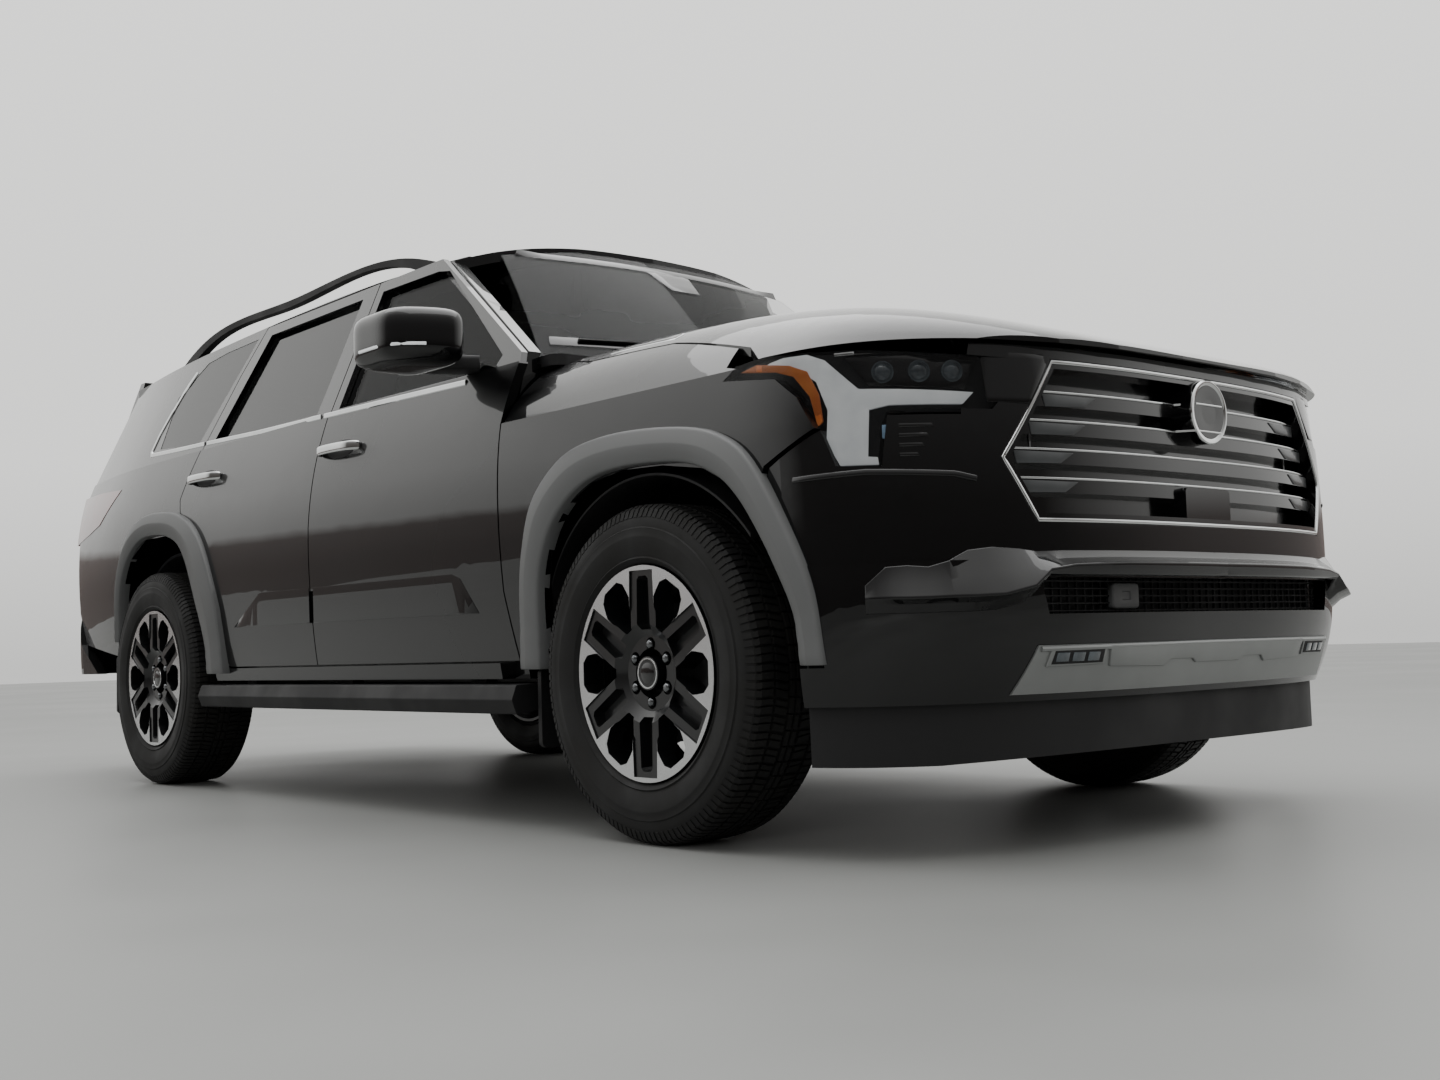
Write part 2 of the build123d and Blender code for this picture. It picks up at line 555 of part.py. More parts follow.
# ---------------------------------------------------------------- roof, screen and rear end
fin_y = rear_axle_y + 640
fin_low_z = crown_z(fin_y) - 12.0
fin_line = [(fin_y - 95, fin_low_z), (fin_y - 40, height - 22), (fin_y + 20, height),
            (fin_y + 52, height - 4), (fin_y + 66, fin_low_z)]
with BuildPart() as roof:
    with BuildSketch(Plane.YZ):
        with BuildLine():
            Polyline(*fin_line, close=True)
        make_face()
    extrude(amount=17, both=True, taper=16)
    add(roof_wall & outline(roof_line, Plane.XY, 2000))
    for side in (-1, 1):
        add(roof_wall & block(side * 400 - 35, side * 400 + 35, tailgate_hinge_y - panel_gap - 40,
                              tailgate_hinge_y - seat_gap, 1500, 1950))
save(roof.part, "roof_panel")

with BuildPart() as rails:
    for side in (-1, 1):
        rail_x = side * (roof_half - 92)
        with BuildSketch(Plane.YZ.offset(rail_x - 16)):
            with BuildLine():
                rail_front = header_y + 320
                rail_rear = tail_y - 640
                Spline((rail_front, roof_z - 80), (rail_front + 260, roof_z - 8),
                       ((rail_front + rail_rear) / 2, roof_z + 8), (rail_rear - 300, roof_z - 14),
                       (rail_rear, roof_z - 110))
                Line((rail_rear, roof_z - 110), (rail_rear - 120, roof_z - 108))
                Spline((rail_rear - 120, roof_z - 108), (rail_rear - 330, roof_z - 40),
                       ((rail_front + rail_rear) / 2, roof_z - 18), (rail_front + 280, roof_z - 34),
                       (rail_front + 120, roof_z - 86))
                Line((rail_front + 120, roof_z - 86), (rail_front, roof_z - 80))
            make_face()
        extrude(amount=32)
    add(under_roof, mode=Mode.SUBTRACT)
save(rails.part, "roof_rails")

screen_skin = surface(lambda x, z: (x, screen_y(x, z), z), steps(-820, 820, 11), steps(1250, 1830, 7))
screen_line = [(-770, 1300), (770, 1300), (612, screen_top_z - 62), (330, screen_top_z - 12),
               (-330, screen_top_z - 12), (-612, screen_top_z - 62)]
screen_wall = extrude(screen_skin, amount=glass + 2, dir=(0, 1, 0))
save(screen_wall & outline(screen_line, Plane.XZ, 3000, reach=-1000), "windscreen")

gate_window = [(-735, belt_z - 20), (735, belt_z - 20), (640, roof_z - 165), (-640, roof_z - 165)]
gate_wall = extrude(gate_skin, amount=70.0, dir=(0, -1, 0))
with BuildPart() as tailgate:
    add(gate_wall & outline(gate_line, Plane.XZ, 3000, reach=-3000))
    with BuildSketch(Plane.XZ.offset(-3000)):
        with BuildLine():
            Polyline(*gate_window, close=True)
        make_face()
    extrude(amount=3000, mode=Mode.SUBTRACT)
    add(roof_wall & block(-650, 650, tailgate_hinge_y, tailgate_hinge_y + 140, 1550, 1950))
gate_leaf = tailgate.part - block(-1000, 1000, 0, tailgate_hinge_y, 1400, 1950)
save(gate_leaf, "tailgate")
gate_pane = (extrude(gate_skin, amount=26.0, dir=(0, -1, 0))
             - extrude(gate_skin, amount=20.0, dir=(0, -1, 0)))
save(gate_pane & inset_outline(gate_window, 0.4, Plane.XZ, 3000, reach=-3000), "tailgate_glass")

rear_bumper_top = gate_low_z - 8.0


def tail_block(top, bottom, inset):
    """Solid block behind the wrapped rear bumper surface."""
    across_half = half_width - 62.0 - inset
    deep = 330.0 - inset

    def point(turn, z):
        across = abs(cos(turn)) ** 0.52 * (1 if cos(turn) >= 0 else -1)
        ahead = abs(sin(turn)) ** 0.52
        return (across_half * across, tail_y - 330.0 - 0.0009 * max(0.0, 560.0 - z) ** 2 + deep * ahead, z)

    face = surface(point, steps(0.09, pi - 0.09, 25), steps(bottom, top, 5))
    return extrude(face, amount=800, dir=(0, -1, 0))


with BuildPart() as rear_bumper:
    add(tail_block(rear_bumper_top, 430, 0.0))
    add(tail_block(rear_bumper_top - 30, 400, 40.0), mode=Mode.SUBTRACT)
    add(block(-1500, 1500, tail_y - 530, tail_y + 30, 300, 900), mode=Mode.INTERSECT)
    add(block(-160, 160, tail_y - 530, tail_y + 30, 300, 500), mode=Mode.SUBTRACT)
    for side in (0, -wide):
        add(outline([(-3000, 0), (tail_y - 640, 300), (tail_y - 214.5, 560), (tail_y - 119.5, 700),
                     (tail_y - 119.5, 1500), (-3000, 1500)], Plane.YZ, wide, reach=side), mode=Mode.SUBTRACT)
save(rear_bumper.part, "rear_bumper")

lamp_block = side_wall(side_x, steps(tail_y - 780, tail_y, 5), steps(980, 1240, 5), door_skin, -2.0)
tail_lamp = (lamp_block & inset_outline(lamp_line, 0.6, Plane.YZ, wide)) - gate_space
save(both_sides(tail_lamp), "tail_lamps")

# ---------------------------------------------------------------- floor, sills and under-body
wall_t = 12.0
firewall_z = 1180.0
house_radius = tyre_radius + 67.0
house_x = 560.0                  # inner wall of the wheel houses
inner_half = half_width - door_depth - 24
with BuildPart() as floor_pan:
    with BuildSketch(Plane.YZ.offset(-inner_half)):
        with BuildLine():
            Polyline((cowl_y - 30, firewall_z), (cowl_y - 30, cabin_floor_z + 180),
                     (cowl_y + 180, cabin_floor_z), (rear_axle_y - 640, cabin_floor_z),
                     (rear_axle_y - 560, cargo_floor_z), (tail_y - 190, cargo_floor_z),
                     (tail_y - 190, cargo_floor_z - wall_t), (rear_axle_y - 552, cargo_floor_z - wall_t),
                     (rear_axle_y - 632, cabin_floor_z - wall_t), (cowl_y + 175, cabin_floor_z - wall_t),
                     (cowl_y - 30 - wall_t, cabin_floor_z + 176), (cowl_y - 30 - wall_t, firewall_z),
                     close=True)
        make_face()
    extrude(amount=2 * inner_half)
    for start in (-inner_half, house_x):
        with BuildSketch(Plane.YZ.offset(start)):
            with Locations((rear_axle_y, hub_z)):
                Circle(house_radius + wall_t)
        extrude(amount=inner_half - house_x)
        with BuildSketch(Plane.YZ.offset(start if start > 0 else -1100)):
            with Locations((rear_axle_y, hub_z)):
                Circle(house_radius)
        extrude(amount=1100 - house_x, mode=Mode.SUBTRACT)
    add(block(-1100, 1100, rear_axle_y - 620, rear_axle_y + 620, -200, hub_z + 60), mode=Mode.SUBTRACT)
side_space = side_wall(side_x, steps(cowl_y - 120, tail_y, 15), steps(350, belt_z + 40, 8),
                       door_skin + lining_gap + lining_depth + 0.3 + 30.0, -30.0)
save(floor_pan.part - both_sides(side_space), "floor_pan")

with BuildPart() as cowl:
    with BuildSketch(Plane.XY.offset(1268)):
        with Locations((0, cowl_y + 44)):
            RectangleRounded(1690, 190, 40)
    extrude(amount=1299.7 - 1268)
save(cowl.part - both_sides(fender.part) - both_sides(body_left), "cowl_panel")

board_top_z = 385.0
board_front = front_axle_y + 560
board_rear = rear_axle_y - 450
with BuildPart() as boards:
    for side in (-1, 1):
        with BuildSketch(Plane.XZ.offset(-board_front)):
            with BuildLine():
                Polyline((side * 830, board_top_z - 55), (side * 985, board_top_z - 80),
                         (side * 1000, board_top_z - 40), (side * 985, board_top_z),
                         (side * 830, board_top_z + 4), close=True)
            make_face()
        extrude(amount=-(board_rear - board_front))
    fillet(boards.edges().filter_by(Axis.Y), 8)
    for side in (-1, 1):
        for y in (front_axle_y + 880, front_axle_y + 1680, front_axle_y + 2400):
            add(block(*sorted((side * 862, side * 900)), y - 40, y + 40, board_top_z - 20, 400 - seat_gap))
save(boards.part, "running_boards")

with BuildPart() as flaps:
    for y, low, high in ((front_axle_y + 508, 216, 430 - seat_gap), (rear_axle_y + 520, 264, 506.5)):
        for side in (-1, 1):
            with BuildSketch(Plane.XZ.offset(-y)):
                with Locations((side * 860, (low + high) / 2)):
                    RectangleRounded(170, high - low, 18)
            extrude(amount=8, both=True)
save(flaps.part, "mud_flaps")

rail_x = 470.0                   # middle of a frame rail
mid_rail_z = 415.0
frame_line = [(front_y + 190, 560), (front_axle_y + 560, 560), (front_axle_y + 760, mid_rail_z),
              (rear_axle_y - 620, mid_rail_z), (rear_axle_y - 330, 600), (rear_axle_y + 330, 600),
              (rear_axle_y + 560, 520), (tail_y - 200, 520)]
with BuildPart() as frame:
    for side in (-1, 1):
        with BuildSketch(Plane.YZ.offset(side * rail_x - 35)):
            with BuildLine():
                Polyline(*[(y, z + 62) for y, z in frame_line],
                         *[(y, z - 62) for y, z in reversed(frame_line)], close=True)
            make_face()
        extrude(amount=70)
    for y, z in ((front_y + 260, 560), (front_axle_y + 830, 395), (pillar_y, 395), (rear_axle_y - 480, 512),
                 (rear_axle_y + 380, 580), (tail_y - 260, 505)):
        with BuildSketch(Plane.YZ.offset(-rail_x)):
            with Locations((y, z)):
                RectangleRounded(90, 50, 14)
        extrude(amount=2 * rail_x)
    for side in (-1, 1):
        add(block(side * rail_x - 34.7, side * rail_x + 34.7, front_axle_y - 200, front_axle_y + 200,
                  258, 520))
        for y, low, high in ((front_axle_y + 900, mid_rail_z + 55, cabin_floor_z - wall_t - seat_gap),
                             (pillar_y + 260, mid_rail_z + 55, cabin_floor_z - wall_t - seat_gap),
                             (rear_axle_y + 160, 650, cargo_floor_z - wall_t - seat_gap)):
            add(block(side * rail_x - 30, side * rail_x + 30, y - 35, y + 35, low, high))
        inner = sorted((side * (330 + seat_gap), side * (rail_x - 30)))
        add(block(*inner, front_axle_y + 20, front_axle_y + 110, 560, 600))
    add(block(235, 265, pillar_y - 20, pillar_y + 20, 360 + seat_gap, 380))
    add(block(-rail_x, rail_x, front_axle_y - 60, front_axle_y + 60, 270, 320))
    with BuildSketch(Plane.XZ.offset(-(tail_y - 270))):
        with Locations((0, 448)):
            Rectangle(receiver_out, receiver_out)
            Rectangle(receiver_in, receiver_in, mode=Mode.SUBTRACT)
    extrude(amount=-230)
    with BuildSketch(Plane.YZ.offset(-receiver_out)):
        with Locations((tail_y - 95, 448)):
            Circle(pin_hole / 2)
    extrude(amount=2 * receiver_out, mode=Mode.SUBTRACT)
save(frame.part, "chassis_frame")

with BuildPart() as engine:
    with BuildSketch(Plane.XY.offset(540)):
        with Locations((0, front_axle_y + 60)):
            RectangleRounded(660, 780, 60)
    extrude(amount=480)
    with BuildSketch(Plane.XY.offset(428)):
        with Locations((0, front_axle_y + 540)):
            RectangleRounded(300, 260, 40)
    extrude(amount=140)
save(engine.part, "engine")

with BuildPart() as exhaust:
    with BuildSketch(Plane.XZ.offset(-(front_axle_y + 500))):
        with Locations((250, 330)):
            Circle(30)
    extrude(amount=-(wheelbase - 1150))
    with BuildSketch(Plane.XZ.offset(-(rear_axle_y - 660))):
        with Locations((250, 330)):
            Ellipse(120, 60)
    extrude(amount=-520)
save(exhaust.part, "exhaust")

with BuildPart() as tank:
    with BuildSketch(Plane.XY.offset(330)):
        with Locations((-(rail_x - 35 - seat_gap - 180), pillar_y + 460)):
            RectangleRounded(360, 760, 60)
    extrude(amount=130)
save(tank.part, "fuel_tank")

# ---------------------------------------------------------------- cabin
wheel_plane = Plane(origin=(400, cowl_y + 560, 1135), z_dir=(0, 1, 0.42))
with BuildPart() as steering_wheel:
    with BuildSketch(wheel_plane):
        Circle(195)
        Circle(163, mode=Mode.SUBTRACT)
        Circle(62)
        Rectangle(350, 42)
        with Locations((0, -90)):
            Rectangle(46, 160)
    extrude(amount=15, both=True)
    with BuildSketch(wheel_plane):
        Circle(34)
    extrude(amount=-125)
save(steering_wheel.part, "steering_wheel")


with BuildPart() as dashboard:
    with BuildSketch(Plane.YZ.offset(-inner_half + 90)):
        with BuildLine():
            Polyline((cowl_y + 40, 1120), (cowl_y + 40, 1250), (cowl_y + 190, 1262), (cowl_y + 430, 1225),
                     (cowl_y + 470, 1150), (cowl_y + 400, 1000), (cowl_y + 330, 800), (cowl_y + 200, 800),
                     close=True)
        make_face()
    extrude(amount=2 * (inner_half - 90))
    with BuildSketch(Plane.XY.offset(cabin_floor_z)):
        with Locations((0, cowl_y + 720)):
            RectangleRounded(270, 900, 30)
    extrude(amount=330)
    add(steering_wheel.part, mode=Mode.SUBTRACT)
save(dashboard.part, "dashboard")

def seat(x, y, width, base_z, back_top, floor_z):
    """Seat: cushion, leaning backrest and headrest as one simple closed solid each."""
    with BuildPart() as made:
        with BuildSketch(Plane.YZ.offset(x - width / 2)):
            with BuildLine():
                Polyline((y - 270, base_z), (y - 270, base_z + 140), (y + 150, base_z + 120),
                         (y + 330, back_top), (y + 440, back_top), (y + 290, base_z), close=True)
            make_face()
        extrude(amount=width)
        with BuildSketch(Plane.YZ.offset(x - 120)):
            with Locations((y + 392, back_top + 82.8)):
                RectangleRounded(85, 165, 30)
        extrude(amount=240)
        add(block(x - width / 2 + 60, x + width / 2 - 60, y - 210, y + 210, floor_z, base_z))
    return made.part


with BuildPart() as front_seats:
    for x in (-400, 400):
        add(seat(x, cowl_y + 1000, 530, 720, 1330, cabin_floor_z))
save(front_seats.part, "front_seats")
with BuildPart() as rear_seats:
    for x in (-400, 400):
        add(seat(x, pillar_y + 480, 520, 740, 1310, cabin_floor_z))
    for x in (-270, 270):
        add(seat(x, rear_axle_y + 210, 440, 850, 1280, cargo_floor_z))
save(rear_seats.part, "rear_seats")

# ---------------------------------------------------------------- axles, knuckles and wheels
hub_plane_x = wheel_x + 30.0     # mounting face of the wheel
spindle = 46.0
spindle_end_x = hub_plane_x - 14.0 - seat_gap
knuckle_low_z = hub_z - 120.0
knuckle_top_z = hub_z + 180.0
arm_height = 34.0
with BuildPart() as arms:
    for side in (-1, 1):
        inner_x, tip_x = side * (rail_x + 35), side * (steer_x + 20)
        for z in (knuckle_low_z - seat_gap - arm_height, knuckle_top_z + seat_gap):
            with BuildSketch(Plane.XY.offset(z)):
                with BuildLine():
                    Polyline((inner_x, front_axle_y - 190), (tip_x, front_axle_y - 30),
                             (tip_x, front_axle_y + 30), (inner_x, front_axle_y + 190),
                             (inner_x, front_axle_y + 120), (side * (steer_x - 60), front_axle_y),
                             (inner_x, front_axle_y - 120), close=True)
                make_face()
            extrude(amount=arm_height)
save(arms.part, "front_control_arms")

with BuildPart() as rear_axle:
    with BuildSketch(Plane.YZ.offset(-spindle_end_x)):
        with Locations((rear_axle_y, hub_z)):
            Circle(spindle)
    extrude(amount=2 * spindle_end_x)
    with Locations((0, rear_axle_y, hub_z)):
        Sphere(150)
    with BuildSketch(Plane.XZ.offset(-(front_axle_y + 670))):
        with Locations((0, 453)):
            Circle(28)
    extrude(amount=-(wheelbase - 740))
save(rear_axle.part, "rear_axle")

with BuildPart() as knuckle:
    with BuildSketch(Plane.YZ.offset(steer_x - 30)):
        with Locations((front_axle_y, (knuckle_low_z + knuckle_top_z) / 2)):
            RectangleRounded(96, knuckle_top_z - knuckle_low_z, 40)
    extrude(amount=60)
    with BuildSketch(Plane.YZ.offset(steer_x + 20)):
        with Locations((front_axle_y, hub_z)):
            Circle(spindle)
    extrude(amount=spindle_end_x - steer_x - 20)
save_pair(knuckle.part, "steering_knuckle")


def tyre(axle_y):
    """Tyre: section from bead to tread, turned about the axle."""
    half = tyre_width / 2
    section = [(half - 16, rim_radius + seat_gap), (half, 320), (half - 6, 372),
               (half - 30, tyre_radius - 8), (half - 60, tyre_radius)]
    around = [(wheel_x + dx, axle_y - r) for dx, r in section]
    around += [(wheel_x - dx, axle_y - r) for dx, r in reversed(section)]
    with BuildPart() as made:
        with BuildSketch(Plane.XY.offset(hub_z)):
            with BuildLine():
                Polyline(*around, close=True)
            make_face()
        revolve(axis=Axis((0, axle_y, hub_z), (1, 0, 0)), revolution_arc=360)
    return made.part


def band_edge(x):
    """Edge of a double spoke's band, measured across the window beside it."""
    return (x - spoke_band * sin(pi / 6)) * sin(pi / 6) / cos(pi / 6) - spoke_band * cos(pi / 6)


rim_half = tyre_width / 2 - 14
window_half = [(116, band_edge(116)), (184, band_edge(184)), (200, 50), (226, 46), (rim_radius - 19, 28)]
rim_window = window_half + [(x, -y) for x, y in reversed(window_half)]
band_end = rim_radius - 12
rim_band = [(0, -spoke_band - 6), (100, -spoke_band - 2), (band_end, -spoke_band + 3),
            (band_end, spoke_band - 3), (100, spoke_band + 2), (0, spoke_band + 6)]
rim_pocket = [(104, -20), (120, -25), (228, -22), (236, -14), (236, 14), (228, 22), (120, 25), (104, 20)]


def rim(axle_y):
    """Road wheel: barrel with a face of six pocketed double spokes, hub, cap and brake disc."""
    face_x = wheel_x + rim_half
    hub_x = face_x - 26
    dished_x = hub_plane_x - 14
    with BuildPart() as made:
        with BuildSketch(Plane.XY.offset(hub_z)):
            with BuildLine():
                Polyline((wheel_x - rim_half, axle_y - rim_radius), (face_x, axle_y - rim_radius),
                         (face_x, axle_y - 128), (hub_x, axle_y - 92), (hub_x, axle_y - 60),
                         (dished_x, axle_y - 60), (dished_x, axle_y - 92), (face_x - 46, axle_y - 205),
                         (face_x - 46, axle_y - rim_radius + 26),
                         (wheel_x - rim_half, axle_y - rim_radius + 12), close=True)
            make_face()
        revolve(axis=Axis((0, axle_y, hub_z), (1, 0, 0)), revolution_arc=360)
        cuts = ((face_x, rim_window, 0, 60, 4), (face_x, rim_band, 30, spoke_drop, 0),
                (face_x - spoke_drop, rim_pocket, 30, 30, 9))
        for start_x, shape, turn, depth, lean in cuts:
            with BuildSketch(Plane.YZ.offset(start_x)):
                with Locations((axle_y, hub_z)):
                    with PolarLocations(0, 6, start_angle=turn):
                        Polygon(*shape, align=None)
            extrude(amount=-depth, taper=lean, mode=Mode.SUBTRACT)
        with BuildSketch(Plane.YZ.offset(hub_x)):
            with Locations((axle_y, hub_z)):
                with PolarLocations(nut_circle, 6, start_angle=30):
                    Circle(17)
        extrude(amount=-14, mode=Mode.SUBTRACT)
        for start_x, radius, end_x in ((dished_x, 62, hub_plane_x + 6), (hub_plane_x, 41, face_x - 14)):
            with BuildSketch(Plane.YZ.offset(start_x)):
                with Locations((axle_y, hub_z)):
                    Circle(radius)
            extrude(amount=end_x - start_x)
        with BuildSketch(Plane.YZ.offset(dished_x - 26)):
            with Locations((axle_y, hub_z)):
                Circle(170)
                Circle(spindle + 8, mode=Mode.SUBTRACT)
        extrude(amount=26.5)
    return made.part


for end, axle_y in (("front", front_axle_y), ("rear", rear_axle_y)):
    save_pair(tyre(axle_y), f"{end}_tyre")
    save_pair(rim(axle_y), f"{end}_wheel")

# ---------------------------------------------------------------- door mirrors
mirror_y = door_y + 395
mirror_x = half_width + 22
shell_front = [(mirror_x - 4, 1290), (mirror_x + 60, 1272), (mirror_x + 196, 1270), (mirror_x + 228, 1318),
               (mirror_x + 232, 1398), (mirror_x + 200, 1432), (mirror_x + 40, 1440), (mirror_x, 1412)]
shell_plan = [(mirror_x - 6, mirror_y), (mirror_x - 6, mirror_y - 96), (mirror_x + 60, mirror_y - 150),
              (mirror_x + 170, mirror_y - 128), (mirror_x + 228, mirror_y - 70), (mirror_x + 236, mirror_y)]
with BuildPart() as mirror_housing:
    add(outline(shell_front, Plane.XZ, 400, reach=-mirror_y) & outline(shell_plan, Plane.XY, 1500))
    fillet(mirror_housing.edges().filter_by(lambda e: e.center().Y < mirror_y - 2), 16)
    with BuildSketch(Plane.XZ.offset(-mirror_y + 14)):
        with Locations((mirror_x + 114, 1352)):
            RectangleRounded(188, 118, 30)
    extrude(amount=-30, mode=Mode.SUBTRACT)
    with BuildSketch(Plane.YZ.offset(half_width - 74)):
        with Locations((mirror_y - 168, 1296)):
            RectangleRounded(130, 44, 14)
    with BuildSketch(Plane.YZ.offset(mirror_x + 40)):
        with Locations((mirror_y - 84, 1304)):
            RectangleRounded(92, 40, 14)
    loft(ruled=True)
save_pair(mirror_housing.part - front_leaf, "door_mirror")
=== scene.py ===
"""Looks of the full-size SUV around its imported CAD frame, in metres.

The front faces -Y, the vehicle's left side is +X and +Z is up. Outlines, profiles, tables and
sizes named *_mm are in millimetres. Every added piece rides on the CAD body that carries it.
"""

import json
import math

import bmesh
import bpy
from mathutils import Matrix, Vector
from mathutils.bvhtree import BVHTree


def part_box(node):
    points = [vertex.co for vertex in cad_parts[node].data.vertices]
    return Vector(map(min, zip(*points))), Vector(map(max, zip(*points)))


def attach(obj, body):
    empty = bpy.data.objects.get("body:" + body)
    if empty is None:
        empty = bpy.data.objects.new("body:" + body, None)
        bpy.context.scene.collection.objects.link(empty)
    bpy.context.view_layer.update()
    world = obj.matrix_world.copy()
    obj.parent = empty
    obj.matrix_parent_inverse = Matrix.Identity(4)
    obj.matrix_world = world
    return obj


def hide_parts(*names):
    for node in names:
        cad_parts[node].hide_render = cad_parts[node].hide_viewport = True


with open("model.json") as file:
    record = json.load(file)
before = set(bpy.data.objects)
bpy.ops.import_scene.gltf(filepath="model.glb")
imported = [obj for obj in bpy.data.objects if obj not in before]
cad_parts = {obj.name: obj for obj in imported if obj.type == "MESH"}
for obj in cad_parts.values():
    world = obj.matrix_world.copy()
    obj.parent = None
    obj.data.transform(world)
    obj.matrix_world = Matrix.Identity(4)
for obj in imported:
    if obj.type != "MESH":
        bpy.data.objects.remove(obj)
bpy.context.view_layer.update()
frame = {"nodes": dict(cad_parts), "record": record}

SIDES = (("left", 1), ("right", -1))
MM = 0.001
FORWARD = Vector((0.0, -1.0, 0.0))


def show(name, data):
    """New object in the scene."""
    made = bpy.data.objects.new(name, data)
    bpy.context.scene.collection.objects.link(made)
    return made


# ------------------------------------------------------------------ camera
CAMERA_PLACE, LENS_MM, SENSOR_MM, SIGHT_M = (-3.319, -4.649, 0.474), 38.9, 36.0, 200.0
YAW, PITCH, ROLL = (math.radians(angle) for angle in (41.05, 3.89, -1.67))
camera_data = bpy.data.cameras.new("camera")
camera_data.lens, camera_data.sensor_width, camera_data.clip_end = LENS_MM, SENSOR_MM, SIGHT_M
camera_data.sensor_fit = "HORIZONTAL"
camera = show("camera", camera_data)
camera.matrix_world = (Matrix.Translation(CAMERA_PLACE) @ Matrix.Rotation(-YAW, 4, "Z")
                       @ Matrix.Rotation(math.pi / 2 + PITCH, 4, "X") @ Matrix.Rotation(ROLL, 4, "Z"))
bpy.context.scene.camera = camera


# ------------------------------------------------------------------ shader helpers
def linear(text):
    """Linear colour of an sRGB hex value."""
    shares = [int(text[i:i + 2], 16) / 255 for i in (1, 3, 5)]
    return [c / 12.92 if c <= 0.04045 else ((c + 0.055) / 1.055) ** 2.4 for c in shares] + [1.0]


def put(tree, kind, inputs=None, **settings):
    """Adds a node, with its settings, its input values and its links."""
    made = tree.nodes.new(kind)
    for name, value in settings.items():
        setattr(made, name, value)
    for key, value in (inputs or {}).items():
        if isinstance(value, bpy.types.NodeSocket):
            tree.links.new(value, made.inputs[key])
        else:
            made.inputs[key].default_value = value
    return made


def per(size_mm):
    """Texture scale whose features are size_mm across, on coordinates in metres."""
    return 1000.0 / size_mm


def start(name):
    """New node material with its tree and its object coordinates."""
    made = bpy.data.materials.new(name)
    made.use_nodes = True
    made.node_tree.nodes.clear()
    return made, made.node_tree, put(made.node_tree, "ShaderNodeTexCoord").outputs["Object"]


def finish(name, colours, rough, patch_mm, grain_mm, grain_height_mm, metallic=0.0, coat=0.0,
           coat_rough=0.03, stretch=(1, 1, 1), own=None, detail=(3.0, 2.0), strength=0.6,
           colours_from=(0.35, 0.65)):
    """Common finish: two near colours and a roughness range in soft patches, and a grain as bump.

    own gives further values of the shader's sockets, detail is that of the patches and the grain,
    and colours_from is the part of the patches' range in which the colours change.
    """
    made, tree, place = start(name)
    along = put(tree, "ShaderNodeMapping", {"Vector": place, "Scale": stretch}).outputs[0]
    patch = put(tree, "ShaderNodeTexNoise",
                {"Vector": along, "Scale": per(patch_mm), "Detail": detail[0]}).outputs["Fac"]
    share = put(tree, "ShaderNodeMapRange", {"Value": patch, "From Min": colours_from[0],
                                             "From Max": colours_from[1]})
    colour = put(tree, "ShaderNodeMix", {"Factor": share.outputs[0], 6: linear(colours[0]),
                                         7: linear(colours[1])}, data_type="RGBA")
    polish = put(tree, "ShaderNodeMapRange", {"Value": patch, "From Min": 0.35, "From Max": 0.65,
                                              "To Min": rough[0], "To Max": rough[1]})
    grain = put(tree, "ShaderNodeTexNoise",
                {"Vector": along, "Scale": per(grain_mm), "Detail": detail[1]})
    bump = put(tree, "ShaderNodeBump", {"Height": grain.outputs["Fac"], "Strength": strength,
                                        "Distance": grain_height_mm * MM})
    shader = put(tree, "ShaderNodeBsdfPrincipled", {
        "Base Color": colour.outputs[2], "Roughness": polish.outputs[0], "Metallic": metallic,
        "Coat Weight": coat, "Coat Roughness": coat_rough, "Normal": bump.outputs[0], **(own or {})})
    put(tree, "ShaderNodeOutputMaterial", {"Surface": shader.outputs[0]})
    return made


# ------------------------------------------------------------------ materials
# Colours, roughness range, then the size of the patches, and the size and height of the grain in
# mm. Grains finer than about 1 mm are drawn coarser than real, so that they still show as a sheen.

# Car body: sprayed black base coat under a polished clear coat. The eye gets a deep mirror-like
# black; its orange peel is drawn coarser than real and only softens the edges of reflections.
paint = finish("black_clearcoat_paint", ("#020203", "#040405"), (0.3, 0.4), 900.0, 14.0, 0.008,
               coat=1.0, coat_rough=0.015, own={"Specular IOR Level": 0.1})
# Moulded and painted polypropylene flares: satin, so light lies on them as a broad soft band.
flare_grey = finish("satin_grey_polypropylene", ("#5a5b5b", "#616262"), (0.42, 0.5), 400.0, 3.0, 0.03)
# Injection-moulded black polypropylene: a sandblast grain, coarser than real, gives matt black
# with small highlights.
trim_black = finish("grained_black_polypropylene", ("#101011", "#171718"), (0.55, 0.7), 180.0, 1.6, 0.08)
# Injection-moulded gloss black ABS: hard, clean reflections on black.
piano_black = finish("gloss_black_abs", ("#060607", "#0a0a0b"), (0.1, 0.16), 300.0, 8.0, 0.01, coat=0.5)
# Chrome-plated ABS: a bright mirror, slightly waved by the moulding.
chrome = finish("chrome_plated_abs", ("#d6d8d8", "#e2e3e3"), (0.06, 0.12), 120.0, 10.0, 0.01,
                metallic=1.0)
# Silver painted skid trim: a soft metallic glow; its flakes are drawn coarser than real.
silver = finish("satin_silver_paint", ("#8b8d8c", "#9a9c9b"), (0.34, 0.42), 260.0, 1.2, 0.02,
                metallic=0.65)
# Black e-coated frame steel: matt, with light dust in patches.
frame_black = finish("black_coated_steel", ("#121212", "#1c1b1a"), (0.5, 0.75), 130.0, 4.0, 0.12)
# Sand-cast iron and aluminium under the car: a rough grey skin with darker patches.
cast_grey = finish("sand_cast_metal", ("#4a4a48", "#5f5f5c"), (0.5, 0.7), 60.0, 2.5, 0.25, metallic=0.8)
